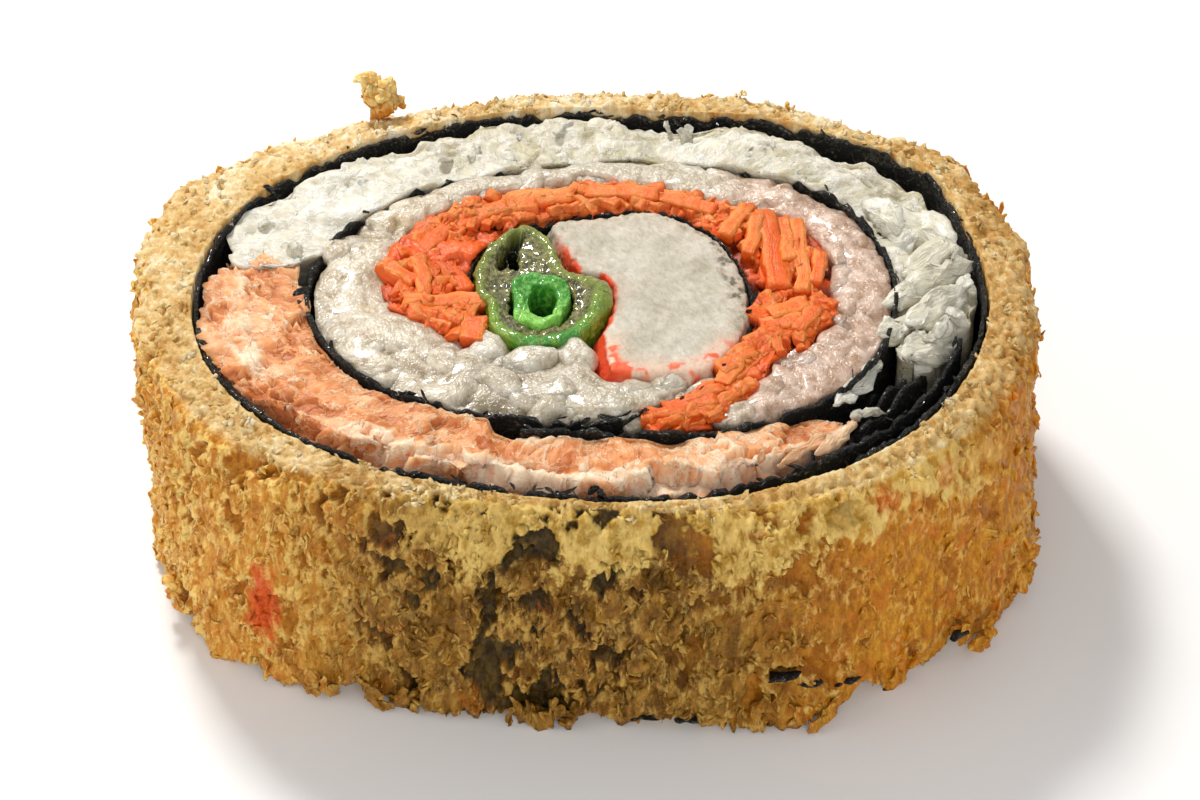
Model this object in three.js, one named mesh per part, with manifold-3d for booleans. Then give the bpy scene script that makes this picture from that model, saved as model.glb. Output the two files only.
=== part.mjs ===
// One slice of a thick sushi roll that was coated in breadcrumbs and deep fried.
// It lies on one cut face, and every layer runs through it from that face to the one on top.
// Millimetres, +Z up, +X to the right and +Y to the back, with the origin under its middle.
import * as THREE from "three";
import { ImprovedNoise } from "three/addons/math/ImprovedNoise.js";
import { mergeVertices } from "three/addons/utils/BufferGeometryUtils.js";
import Module from "manifold-3d";

const wasm = await Module();
wasm.setup();

const SLICE_HEIGHT = 22.5; // from cut face to cut face
const NORI = 0.7; // one sheet of seaweed, swollen by the steam of the filling
const GAP = 0.3; // slack between layers that lie against each other
const NORI_LIFT = 0.4; // the cut sheets are drawn up off the ground by this much
const NORI_LAP_STEP = 1.4; // how far the lapped end of the outer sheet lies inside the start
const GRAIN = { length: 6.4, width: 3.5, depth: 3.1 }; // a cooked short grain
const SHRED = { width: 1.7, depth: 1.3 }; // a julienne strip of carrot

// Outlines are radii about the middle of the roll, against a sweep in degrees that starts on
// the left and runs clockwise as seen from above: 90 is the back, 180 the right, 270 the front.
const RIM_EDGE = smoothThrough(
  [
    [0, 38.6], [20, 40.0], [45, 33.7], [75, 29.2], [105, 29.9], [135, 34.4], [150, 37.6],
    [195, 36.5], [270, 28.8], [300, 30.2], [330, 35.9],
  ],
  360,
);
const WRAP_EDGE = smoothThrough(
  [
    [15, 33.0], [45, 28.6], [75, 25.7], [105, 25.5], [120, 28.0], [135, 30.3], [150, 33.4],
    [165, 32.9], [180, 33.0], [210, 31.0], [240, 27.3], [270, 25.0], [300, 26.2], [345, 32.8],
  ],
  360,
);
// The inner sheet is one spiral of nearly two turns, from its end beside the leaves outwards.
const SPIRAL = smoothThrough([
  [0, 10.3], [30, 11.1], [90, 10.9], [120, 12.6], [180, 13.1], [240, 14.8], [300, 17.1],
  [330, 21.3], [360, 23.9], [390, 22.1], [420, 19.0], [450, 18.2], [480, 20.3], [510, 24.5],
  [540, 25.1], [570, 23.4], [600, 19.4], [630, 16.8], [650, 18.0],
]);
// Where the shredded carrot stops and the rice outside it starts.
const CARROT_EDGE = smoothThrough([
  [-28, 12.4], [-15, 14.0], [-5, 16.8], [20, 17.8], [45, 17.2], [75, 15.3], [105, 15.5],
  [132, 16.6], [152, 20.3], [180, 20.0], [195, 19.4], [208, 16.6], [222, 17.6], [240, 18.2],
  [256, 16.6],
]);
// The inner side of the rice where it lies against the crab stick and the leaves.
const RICE_BED = smoothThrough([
  [234, 13.4], [250, 11.7], [268, 10.6], [277, 7.0], [292, 7.7], [306, 8.8], [318, 9.7],
  [326, 10.0], [333, 12.2],
]);
// The foot of the crumb coat spreads past the rim, most at the two front corners.
const FOOT_SPREAD = [
  { sweep: 200, reach: 2.9, width: 19 },
  { sweep: 237, reach: 1.7, width: 11 },
  { sweep: 328, reach: 2.6, width: 15 },
];
const POLE = new THREE.Vector2(0.5, 1); // the middle of the roll
const FIRST_LAP = 190; // sweep where the outer sheet starts, under its own end
const LAST_LAP = 585; // and where it ends, a little past one turn
const SPIRAL_END = 650;
const SALMON = { from: 217, to: 367 };
const WHITE_FISH = { from: 10, to: 198 };
const RICE = { from: 236, to: 597 };
const CARROT = { from: -26, to: 254 };
const CRAB = { from: 68, to: 214 }; // the stretch of its side that lies on the inner sheet
const LEAVES = { from: 6, to: 56 };

// A smooth value at any angle through [angle, value] keys, which wrap round if there is a period.
function smoothThrough(keys, period = 0) {
  const wrapped = (index, turns) => [keys.at(index)[0] + turns * period, keys.at(index)[1]];
  const knots = period ? [wrapped(-1, -1), ...keys, wrapped(0, 1), wrapped(1, 1)] : keys;
  const slope = (index) => {
    const before = knots[Math.max(index - 1, 0)];
    const after = knots[Math.min(index + 1, knots.length - 1)];
    return (after[1] - before[1]) / (after[0] - before[0]);
  };
  const start = keys[0][0];
  return (angle) => {
    const at = period
      ? THREE.MathUtils.euclideanModulo(angle - start, period) + start
      : THREE.MathUtils.clamp(angle, start, keys.at(-1)[0]);
    let i = 0;
    while (i < knots.length - 2 && knots[i + 1][0] <= at) i += 1;
    const [[a, from], [b, to]] = [knots[i], knots[i + 1]];
    const t = (at - a) / (b - a);
    const ease = t * t * (3 - 2 * t);
    const lean = (t * t * t - 2 * t * t + t) * slope(i) + (t * t * t - t * t) * slope(i + 1);
    return from + (to - from) * ease + lean * (b - a);
  };
}

// The point at a sweep and a radius about the middle of the roll, at height z.
function polar(sweep, radius, z = 0) {
  const heading = THREE.MathUtils.degToRad(180 - sweep);
  return new THREE.Vector3(
    POLE.x + radius * Math.cos(heading),
    POLE.y + radius * Math.sin(heading),
    z,
  );
}

const noiseField = new ImprovedNoise();
// Smooth noise of about -1 to 1 whose lumps are as large as size, in millimetres.
const lumps = (p, size, seed = 0) =>
  noiseField.noise(p.x / size + seed, p.y / size - seed, p.z / size + 3.7 * seed);

// A repeatable stream of numbers from 0 to 1.
function seeded(seed) {
  let state = seed;
  return () => {
    state = (state * 1664525 + 1013904223) % 4294967296;
    return state / 4294967296;
  };
}
const between = (random, low, high) => low + (high - low) * random();

// Moves each vertex of a geometry by a function of its place.
function warp(geometry, move) {
  const place = geometry.getAttribute("position");
  const p = new THREE.Vector3();
  for (let i = 0; i < place.count; i += 1) {
    const moved = move(p.fromBufferAttribute(place, i));
    place.setXYZ(i, moved.x, moved.y, moved.z);
  }
  return geometry;
}

// A block bent along the roll: u runs clockwise, v outwards and w up, each from 0 to 1.
function bentBlock([along, across, up], place) {
  const block = new THREE.BoxGeometry(1, 1, 1, along, across, up);
  return warp(block, (p) => place(p.x + 0.5, p.y + 0.5, p.z + 0.5));
}

// A solid for cutting and joining, from a closed geometry.
function solidOf(geometry) {
  const bare = new THREE.BufferGeometry();
  bare.setAttribute("position", geometry.getAttribute("position"));
  bare.setIndex(geometry.index);
  const merged = mergeVertices(bare, 1e-4);
  return new wasm.Manifold(
    new wasm.Mesh({
      numProp: 3,
      vertProperties: merged.getAttribute("position").array,
      triVerts: new Uint32Array(merged.index.array),
    }),
  );
}

// The largest body of a solid as a geometry, without the loose scraps that a cut leaves.
function geometryOf(solid) {
  const [largest] = solid.decompose().sort((a, b) => b.volume() - a.volume());
  const mesh = largest.getMesh();
  const geometry = new THREE.BufferGeometry();
  const places = new Float32Array(mesh.numVert * 3);
  for (let i = 0; i < mesh.numVert; i += 1) {
    for (let k = 0; k < 3; k += 1) places[3 * i + k] = mesh.vertProperties[mesh.numProp * i + k];
  }
  geometry.setAttribute("position", new THREE.BufferAttribute(places, 3));
  geometry.setIndex(new THREE.BufferAttribute(new Uint32Array(mesh.triVerts), 1));
  geometry.computeVertexNormals();
  return geometry;
}

// The radius just outside the spiral's outermost turn, for what lies against it.
function outsideSpiral(sweep) {
  const turn = THREE.MathUtils.euclideanModulo(sweep, 360);
  const outer = turn + 360 <= SPIRAL_END + 6 ? SPIRAL(turn + 360) : SPIRAL(turn);
  return Math.max(outer, SPIRAL(turn)) + NORI / 2 + GAP;
}

// The radius of the middle of the outer sheet, whose first stretch lies inside its own end.
function wrapRadius(sweep) {
  const inset = 1 - THREE.MathUtils.smoothstep(sweep, FIRST_LAP + 25, FIRST_LAP + 70);
  return WRAP_EDGE(sweep) - (NORI + GAP) / 2 - NORI_LAP_STEP * inset;
}

// The radius just inside the outer sheet, for what lies against it.
function insideWrap(sweep) {
  const turn = THREE.MathUtils.euclideanModulo(sweep - FIRST_LAP, 360) + FIRST_LAP;
  return Math.min(wrapRadius(turn), wrapRadius(turn + 360)) - NORI / 2 - GAP;
}

// How far the foot of the crumb coat spreads past its rim at a sweep.
function footSpread(sweep) {
  return FOOT_SPREAD.reduce((sum, { sweep: middle, reach, width }) => {
    const away = (THREE.MathUtils.euclideanModulo(sweep - middle + 180, 360) - 180) / width;
    return sum + reach * Math.exp(-away * away);
  }, 0);
}

// The crumb coat: a thick ring with a crumbly rim, a craggy side and a ragged lower edge.
function crumbCoat() {
  const around = 114;
  const inward = 2; // the lathe's own radius of the inner side
  const rows = 11; // of crags between the foot and the rim
  const side = Array.from({ length: rows }, (_, i) => [1, 0.95 - (0.93 * i) / (rows - 1)]);
  const section = [[0, 0], [0, 1], [0.45, 1.03], [0.93, 1.02], ...side, [0.5, 0.01], [0, 0]];
  const profile = section.map(([v, w]) => new THREE.Vector2(inward + v, w));
  const ring = warp(new THREE.LatheGeometry(profile, around), (p) => {
    const sweep = THREE.MathUtils.radToDeg(Math.atan2(p.x, p.z));
    const v = Math.hypot(p.x, p.z) - inward;
    const w = p.y;
    const inner = WRAP_EDGE(sweep) + GAP / 2;
    const edge = RIM_EDGE(sweep) + footSpread(sweep) * (1 - w ** 1.3);
    const radius = inner + v * (edge - inner);
    const base = polar(sweep, radius, w * (SLICE_HEIGHT - 0.6));
    const craggy = THREE.MathUtils.smoothstep(v, 0.3, 0.9);
    const outwards = craggy * (0.9 * lumps(base, 5.5, 1) + 1.2 * lumps(base, 2.3, 2) - 0.15);
    const rim = v > 0.2 && w > 0.9 ? 0.8 * lumps(base, 2.9, 3) : 0;
    const ragged = 0.8 + 2.2 * lumps(base, 5, 4) + 0.9 * lumps(base, 2, 8);
    const foot = v > 0.2 && w < 0.2 ? v * (1 - 5 * w) * Math.max(ragged, 0) : 0;
    return polar(sweep, radius + outwards, base.z + rim + foot);
  });
  const random = seeded(11);
  const flakes = [];
  const flakeCount = 22;
  for (let i = 0; i < flakeCount; i += 1) {
    const sweep = (360 * (i + random())) / flakeCount;
    const size = new THREE.Vector3(between(random, 1, 1.8), 0.8, between(random, 1.4, 2.6));
    const centre = polar(sweep, RIM_EDGE(sweep), between(random, 4, SLICE_HEIGHT - 4));
    flakes.push(crumb(size, centre, sweep, i));
  }
  const hooks = [196, 206, 236, 276, 317, 331]; // sweeps where a flake hangs off the foot
  for (const sweep of hooks) {
    const centre = polar(sweep, RIM_EDGE(sweep) + footSpread(sweep) - 0.5, 1.9);
    flakes.push(crumb(new THREE.Vector3(2.2, 1.3, 1.7), centre, sweep, sweep));
  }
  const standing = crumb(new THREE.Vector3(1.9, 1.6, 2.9), polar(53, 31.6, 23.7), 53, 5);
  return geometryOf([...flakes, standing].reduce((sum, f) => sum.add(f), solidOf(ring)));
}

// One flake of breadcrumb, a jagged lump of the given half sizes that faces outwards.
function crumb(size, centre, sweep, seed) {
  const lump = warp(new THREE.IcosahedronGeometry(1, 0), (p) => {
    const jag = 1 + 0.3 * lumps(p, 0.7, seed);
    return p.clone().multiply(size).multiplyScalar(jag);
  });
  lump.rotateZ(THREE.MathUtils.degToRad(90 - sweep));
  lump.translate(centre.x, centre.y, centre.z);
  return solidOf(lump);
}

// A sheet of seaweed that stands on edge along a curve, with a torn upper edge.
function sheet(steps, from, to, radiusAt, seed) {
  return bentBlock([steps, 1, 1], (u, v, w) => {
    const sweep = from + u * (to - from);
    const torn = 0.5 * lumps(polar(sweep, radiusAt(sweep)), 2.1, seed) - 0.2;
    const height = THREE.MathUtils.lerp(NORI_LIFT, SLICE_HEIGHT + torn, w);
    return polar(sweep, radiusAt(sweep) + (v - 0.5) * NORI, height);
  });
}

// The outer sheet is a band of one turn and a lap, and the inner one is the spiral.
const outerSheet = () => sheet(86, FIRST_LAP, LAST_LAP, wrapRadius, 5);
const innerSheet = () => sheet(108, 0, SPIRAL_END, SPIRAL, 6);

// A strip of fish between the two sheets, flaky on top and blunt at its ends.
function fishStrip(reach, cuts, top, flake, seed) {
  return bentBlock(cuts, (u, v, w) => {
    const sweep = reach.from + u * (reach.to - reach.from);
    const inner = outsideSpiral(sweep);
    const outer = insideWrap(sweep);
    const blunt = 0.5 + 0.5 * Math.sqrt(Math.max(0, 1 - Math.abs(2 * u - 1) ** 14));
    const across = 0.5 + (v - 0.5) * blunt;
    const place = polar(sweep, inner + across * (outer - inner));
    const ragged = flake * (lumps(place, 3.2, seed) + 0.7 * lumps(place, 1.5, seed + 1));
    const edge = 0.7 * Math.abs(2 * v - 1) ** 3;
    place.z = w * (top(sweep) + (w > 0.9 ? ragged - edge : 0));
    return place;
  });
}

// Salmon on the left and along the front, a little proud of the crumb coat.
function salmon() {
  const top = (sweep) => SLICE_HEIGHT - 0.1 - 0.5 * Math.cos(THREE.MathUtils.degToRad(sweep));
  return fishStrip(SALMON, [44, 5, 1], top, 0.9, 7);
}

// White fish along the back and the right, sunk a little below the sheet at the back.
function whiteFish() {
  const top = (sweep) => SLICE_HEIGHT - 0.7 - 0.9 * Math.sin(THREE.MathUtils.degToRad(sweep));
  return fishStrip(WHITE_FISH, [50, 5, 1], top, 0.8, 9);
}

// The room that the rice fills, from the bed under the crab stick out to the right.
function riceRoom(height) {
  return solidOf(
    bentBlock([52, 1, 1], (u, v, w) => {
      const sweep = RICE.from + u * (RICE.to - RICE.from);
      const edge = CARROT_EDGE(sweep - 360) + GAP;
      const inner = sweep < 332 ? Math.min(RICE_BED(sweep), edge) : edge;
      const outer = SPIRAL(sweep) - NORI / 2 - GAP;
      return polar(sweep, inner + v * Math.max(outer - inner, 0.6), w * height);
    }),
  );
}

// Sticky rice: a core with whole grains pressed into its top.
function rice() {
  const random = seeded(23);
  const grainCount = 43;
  const grains = [];
  for (let i = 0; i < grainCount; i += 1) {
    const sweep = RICE.from + ((RICE.to - RICE.from) * (i + 0.5)) / grainCount;
    const inner = sweep < 332 ? RICE_BED(sweep) : CARROT_EDGE(sweep - 360);
    const width = SPIRAL(sweep) - inner;
    const share = width > 5 ? 0.22 + 0.56 * (i % 2) : 0.5;
    const grain = new THREE.SphereGeometry(0.5, 6, 3);
    grain.scale(GRAIN.length, GRAIN.width, GRAIN.depth);
    grain.rotateY(between(random, -1.1, 1.1));
    grain.rotateZ(between(random, 0, Math.PI));
    const height = SLICE_HEIGHT - 1.9 + between(random, -0.5, 0.3);
    grain.translate(...polar(sweep, inner + share * width, height));
    grains.push(solidOf(grain));
  }
  const onTop = grains.reduce((sum, grain) => sum.add(grain));
  const core = riceRoom(SLICE_HEIGHT - 1.6);
  return geometryOf(core.add(onTop.intersect(riceRoom(SLICE_HEIGHT + 2))));
}

// The radius of the inner side of the carrot, on the leaves and then on the inner sheet.
const carrotBed = (sweep) => (sweep < -8 ? 9.8 : SPIRAL(sweep) + NORI / 2 + GAP);

// The room that the carrot fills, round the inner turn of the sheet.
function carrotRoom(height) {
  return solidOf(
    bentBlock([38, 1, 1], (u, v, w) => {
      const sweep = CARROT.from + u * (CARROT.to - CARROT.from);
      const inner = carrotBed(sweep);
      const outer = CARROT_EDGE(sweep) - GAP / 2;
      return polar(sweep, inner + v * (outer - inner), w * height);
    }),
  );
}

// Shredded carrot: a core with strips that follow the roll and stand out of its top.
function carrot() {
  const random = seeded(41);
  const stripCount = 30;
  const strips = [];
  for (let i = 0; i < stripCount; i += 1) {
    const sweep = CARROT.from + ((CARROT.to - CARROT.from) * (i + 0.5)) / stripCount;
    const inner = carrotBed(sweep);
    const width = CARROT_EDGE(sweep) - inner;
    const share = width > 4 ? between(random, 0.15, 0.85) : 0.5;
    const length = between(random, 5, 9);
    const strip = new THREE.BoxGeometry(length, SHRED.width, SHRED.depth);
    strip.rotateX(between(random, 0, Math.PI));
    strip.rotateY(between(random, -0.5, 0.5));
    strip.rotateZ(THREE.MathUtils.degToRad(90 - sweep + between(random, -24, 24)));
    const height = SLICE_HEIGHT - 1.9 + between(random, -0.4, 0.4);
    strip.translate(...polar(sweep, inner + share * width, height));
    strips.push(solidOf(strip));
  }
  const onTop = strips.reduce((sum, strip) => sum.add(strip));
  const core = carrotRoom(SLICE_HEIGHT - 2);
  return geometryOf(core.add(onTop.intersect(carrotRoom(SLICE_HEIGHT + 2))));
}

// The stretch of the inner sheet's inner face that a filling lies on, as plan points.
function alongSpiral({ from, to }, steps) {
  const points = [];
  for (let i = 0; i <= steps; i += 1) {
    const sweep = from + ((to - from) * i) / steps;
    const { x, y } = polar(sweep, SPIRAL(sweep) - NORI / 2 - GAP);
    points.push(new THREE.Vector2(x, y));
  }
  return points;
}

const planPoints = (pairs) => pairs.map(([x, y]) => new THREE.Vector2(x, y));

// An upright piece of one section, from the lower cut face up to the given height.
function upright(points, holes, height, dome = 0) {
  const shape = new THREE.Shape(points);
  shape.holes = holes.map((hole) => new THREE.Path(hole));
  const solid = new THREE.ExtrudeGeometry(shape, { depth: height, steps: 2, bevelEnabled: false });
  return warp(solid, (p) => {
    if (p.z > height - 0.01) p.z += dome * lumps(p, 2.5, 12);
    return p;
  });
}

// The crab stick, pressed to a D by the roll, with its lower left side against the leaves.
function crabStick() {
  const side = planPoints([
    [10.1, -8.4], [8, -9.2], [4.5, -9.2], [1.5, -9.0], [1.1, -6.5], [0.9, -4], [1.7, -2.4],
    [2.1, -0.2], [2.1, 1.8], [1.2, 3.2], [-0.8, 3.9], [-1.7, 5.6], [-2.6, 7.8],
  ]);
  return upright([...alongSpiral(CRAB, 26), ...side], [], SLICE_HEIGHT - 0.1, 0.2);
}

// A hole or a tube's section in the leaves: an ellipse of plan points.
function oval(x, y, halfWidth, halfDepth, lean, steps) {
  return new THREE.EllipseCurve(x, y, halfWidth, halfDepth, 0, 2 * Math.PI, false, lean).getPoints(
    steps,
  ).slice(0, -1);
}

const LEAF_TUBE = { x: -3.9, y: -0.3, halfWidth: 2.5, halfDepth: 3.2, wall: 1.25 };

// The outer spring onion leaf: two lobes, one pinched nearly shut and one round the inner leaf.
function outerLeaf() {
  const side = planPoints([
    [-4.5, 9.0], [-3.5, 7.6], [-2.6, 5.2], [-1.7, 3.2], [0.3, 2.3], [1.2, 1.2], [1.2, -0.4],
    [0.6, -2.4], [-0.5, -4.1], [-2.2, -5.3], [-4.2, -5.7], [-6, -5.2], [-7.3, -4.1], [-8, -2.6],
    [-8.2, -0.6], [-9.1, 0.8],
  ]);
  const tube = LEAF_TUBE;
  const seat = oval(tube.x, tube.y, tube.halfWidth + GAP, tube.halfDepth + GAP, 0, 22);
  const slit = oval(-6.2, 5.6, 0.55, 1.7, 0.06, 12);
  return upright([...alongSpiral(LEAVES, 10), ...side], [seat, slit], SLICE_HEIGHT + 0.2, 0.2);
}

// The inner spring onion leaf: a fresh green tube with an off-centre hollow.
function innerLeaf() {
  const { x, y, halfWidth, halfDepth, wall } = LEAF_TUBE;
  const outside = oval(x, y, halfWidth, halfDepth, 0, 22);
  const hollow = oval(x + 0.25, y - 0.1, halfWidth - wall, halfDepth - wall, 0, 16);
  return upright(outside, [hollow], SLICE_HEIGHT + 0.4, 0.15);
}

const slice = new THREE.Group();
const addPiece = (name, geometry, color, roughness) => {
  const finish = new THREE.MeshStandardMaterial({ color, roughness, metalness: 0 });
  const piece = new THREE.Mesh(geometry, finish);
  piece.name = name;
  slice.add(piece);
};
addPiece("crumb_coat", crumbCoat(), 0xc98f3f, 0.75);
addPiece("outer_nori", outerSheet(), 0x14170f, 0.5);
addPiece("inner_nori", innerSheet(), 0x14170f, 0.5);
addPiece("salmon", salmon(), 0xf2a27c, 0.5);
addPiece("white_fish", whiteFish(), 0xdadccb, 0.45);
addPiece("rice", rice(), 0xe6e3da, 0.35);
addPiece("carrot", carrot(), 0xf06a26, 0.4);
addPiece("crab_stick", crabStick(), 0xe2ded0, 0.5);
addPiece("outer_leaf", outerLeaf(), 0x75833a, 0.35);
addPiece("inner_leaf", innerLeaf(), 0x1f8f35, 0.3);

// The origin goes under the middle of the slice, on the face that it lies on.
slice.updateMatrixWorld(true);
const extent = new THREE.Box3().setFromObject(slice);
const middle = extent.getCenter(new THREE.Vector3());
slice.position.set(-middle.x, -middle.y, -extent.min.z);
slice.updateMatrixWorld(true);

export default slice;
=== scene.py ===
import math

import bpy
import numpy as np
from mathutils import Matrix, Vector, noise
from mathutils.bvhtree import BVHTree


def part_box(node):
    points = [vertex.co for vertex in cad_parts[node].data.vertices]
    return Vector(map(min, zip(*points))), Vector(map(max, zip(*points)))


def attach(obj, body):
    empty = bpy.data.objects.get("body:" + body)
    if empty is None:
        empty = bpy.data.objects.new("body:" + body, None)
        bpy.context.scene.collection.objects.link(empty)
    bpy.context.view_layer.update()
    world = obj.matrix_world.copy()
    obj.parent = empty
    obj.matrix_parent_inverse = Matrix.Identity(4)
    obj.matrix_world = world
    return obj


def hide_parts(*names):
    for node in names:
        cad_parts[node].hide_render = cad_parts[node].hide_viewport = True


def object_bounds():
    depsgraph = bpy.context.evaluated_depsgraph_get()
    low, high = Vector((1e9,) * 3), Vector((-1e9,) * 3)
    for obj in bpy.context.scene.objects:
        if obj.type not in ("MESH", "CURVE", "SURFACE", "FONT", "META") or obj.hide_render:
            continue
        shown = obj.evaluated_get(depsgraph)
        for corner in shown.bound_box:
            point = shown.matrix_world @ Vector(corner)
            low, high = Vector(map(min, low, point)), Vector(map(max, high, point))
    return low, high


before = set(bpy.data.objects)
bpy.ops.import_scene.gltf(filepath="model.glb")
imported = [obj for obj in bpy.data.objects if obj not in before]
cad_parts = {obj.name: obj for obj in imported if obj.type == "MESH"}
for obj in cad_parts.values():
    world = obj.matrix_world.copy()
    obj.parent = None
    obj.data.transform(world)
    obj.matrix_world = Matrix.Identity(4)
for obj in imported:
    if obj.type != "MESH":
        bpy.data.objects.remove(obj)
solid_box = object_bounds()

# The view and the light. The slice was photographed from in front and above, close enough for
# its far side to look smaller, in even light with one lamp high behind it that makes the wet
# filling glint. It lies on a plain white table.
MM = 0.001
MIDDLE = Vector((0.5, 0.02)) * MM  # of the roll, which the layers wind round
EYE = Vector((1.0, -212.4, 199.9)) * MM
LOOK_DOWN = 41.72  # degrees
LENS, FRAME_WIDE = 100.0, 36.0  # mm
STUDIO_LIGHT = 0.43  # strength of the even light from all round
TABLE = 2.0  # half its breadth, in metres


def linked(name, data):
    """A new object in the scene, at the origin."""
    made = bpy.data.objects.new(name, data)
    bpy.context.scene.collection.objects.link(made)
    return made


camera = linked("camera", bpy.data.cameras.new("camera"))
camera.data.lens = LENS
camera.data.sensor_width = FRAME_WIDE
camera.data.clip_start = 0.01
camera.location = EYE
camera.rotation_euler = (math.radians(90 - LOOK_DOWN), 0, 0)
bpy.context.scene.camera = camera


def lamp(name, place, aim, size, power, colour):
    """A soft square lamp at a place, in millimetres, turned to a point."""
    light = bpy.data.lights.new(name, "AREA")
    light.size = size * MM
    light.energy = power
    light.color = colour
    holder = linked(name, light)
    holder.location = Vector(place) * MM
    holder.rotation_euler = (Vector(aim) - Vector(place)).to_track_quat("-Z", "Y").to_euler()


lamp("back_lamp", (-110, 250, 320), (0, 0, 10), 80, 1.5, (1.0, 0.98, 0.94))
lamp("front_lamp", (60, -420, 260), (0, 0, 5), 300, 0.8, (1.0, 0.98, 0.95))
lamp("left_lamp", (-380, -80, 160), (0, 0, 5), 260, 0.35, (1.0, 0.99, 0.97))
world = bpy.data.worlds.new("studio")
world.use_nodes = True
world.node_tree.nodes["Background"].inputs["Color"].default_value = (1.0, 1.0, 1.0, 1)
world.node_tree.nodes["Background"].inputs["Strength"].default_value = STUDIO_LIGHT
bpy.context.scene.world = world
bpy.context.scene.view_settings.view_transform = "Standard"

table = linked("table", bpy.data.meshes.new("table"))
corners = [(x * TABLE, y * TABLE, 0) for x, y in ((-1, -1), (1, -1), (1, 1), (-1, 1))]
table.data.from_pydata(corners, [], [(0, 1, 2, 3)])
paper = bpy.data.materials.new("white_paper")
paper.use_nodes = True
paper.node_tree.nodes["Principled BSDF"].inputs["Base Color"].default_value = (0.9, 0.9, 0.9, 1)
paper.node_tree.nodes["Principled BSDF"].inputs["Roughness"].default_value = 0.7
table.data.materials.append(paper)

# The crab stick: white fish paste pressed into fine fibres, with a red skin that shows only as a
# thin rind along its left side and in patches at the front. It is the middle of the roll.
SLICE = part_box("crab_stick")[1].z / MM  # height of the cut face, in millimetres
MIDWAY = 11.0  # a height about halfway up, at which the sides are looked up
CRAB_MIDDLE = (5.5, 0.3)


class Net:
    """A node tree, of a material or of Geometry Nodes, that is written as Python."""

    def __init__(self, tree):
        self.tree = tree

    def add(self, kind, settings=None, inputs=None, output=0):
        """Adds a node and gives one of its outputs. A colour ramp's stops are a setting too."""
        made = self.tree.nodes.new(kind)
        for name, value in (settings or {}).items():
            if name == "stops":
                ramp = made.color_ramp.elements
                while len(ramp) < len(value):
                    ramp.new(1.0)
                for element, (position, *colour) in zip(ramp, value):
                    element.position = position
                    element.color = tint(*colour)
            else:
                setattr(made, name, value)
        for key, value in (inputs or {}).items():
            if isinstance(value, Wire):
                self.tree.links.new(value.socket, made.inputs[key])
            else:
                made.inputs[key].default_value = value
        return Wire(self, made.outputs[output])

    def place(self):
        """Where the surface is, in millimetres."""
        if self.tree.type == "GEOMETRY":
            here = self.add("GeometryNodeInputPosition")
        else:
            here = self.add("ShaderNodeTexCoord", output="Object")
        return here.scaled(1 / MM)

    def noise(self, place, size, detail=2.0, roughness=0.5, output=0):
        """Noise with lumps of a size in millimetres, from 0 to 1."""
        inputs = {"Vector": place, "Scale": 1 / size, "Detail": detail, "Roughness": roughness}
        return self.add("ShaderNodeTexNoise", None, inputs, output)

    def wobble(self, place, size, detail=2.0, roughness=0.5):
        """Noise as a vector, from -0.5 to 0.5 each way."""
        return self.noise(place, size, detail, roughness, 1).moved((-0.5, -0.5, -0.5))

    def cells(self, place, size, output="Distance", feature="F1"):
        """Voronoi cells of a size in millimetres: a distance, or each one's own colour."""
        inputs = {"Vector": place, "Scale": 1 / size}
        return self.add("ShaderNodeTexVoronoi", {"feature": feature}, inputs, output)

    def mix(self, share, first, second):
        """Two colours mixed, each of them a wire, or red, green and blue from 0 to 255."""
        first, second = (c if isinstance(c, Wire) else tint(*c) for c in (first, second))
        return self.add("ShaderNodeMix", {"data_type": "RGBA"}, {0: share, 6: first, 7: second}, 2)

    def ramp(self, share, *stops):
        """A colour ramp. Each stop is a position, and red, green and blue from 0 to 255."""
        return self.add("ShaderNodeValToRGB", {"stops": stops}, {0: share}, "Color")

    def painted(self, tone, *coats):
        """A colour with coats laid over it, each of them a share and a colour."""
        for share, colour in coats:
            tone = self.mix(share, tone, colour)
        return tone

    def bump(self, height, depth):
        """A normal that is bumped by a height of 0 to 1 over a depth in millimetres."""
        inputs = {"Distance": depth * MM, "Height": height}
        return self.add("ShaderNodeBump", None, inputs, "Normal")

    def attribute(self, name, vector=False):
        """A value or a vector that the mesh holds at its points."""
        if self.tree.type == "GEOMETRY":
            kind = {"data_type": "FLOAT_VECTOR" if vector else "FLOAT"}
            return self.add("GeometryNodeInputNamedAttribute", kind, {"Name": name})
        output = "Vector" if vector else "Fac"
        return self.add("ShaderNodeAttribute", {"attribute_name": name}, output=output)

    def stored(self, shape, name, value, kind="FLOAT"):
        """A shape whose points hold a value."""
        inputs = {"Geometry": shape, "Name": name, 3: value}
        return self.add("GeometryNodeStoreNamedAttribute", {"data_type": kind}, inputs)

    def outward(self, height):
        """A height in millimetres along the surface's normal."""
        return self.add("GeometryNodeInputNormal").scaled(height * MM)

    def upward(self, height):
        """A height in millimetres straight up."""
        return self.add("ShaderNodeCombineXYZ", None, {2: height * MM})

    def pushed(self, shape, offset):
        """A shape whose points are moved."""
        return self.add("GeometryNodeSetPosition", None, {"Geometry": shape, "Offset": offset})

    def smoothed(self, shape):
        """A shape that is shaded smooth."""
        inputs = {"Geometry": shape, "Shade Smooth": True}
        return self.add("GeometryNodeSetShadeSmooth", None, inputs)


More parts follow.
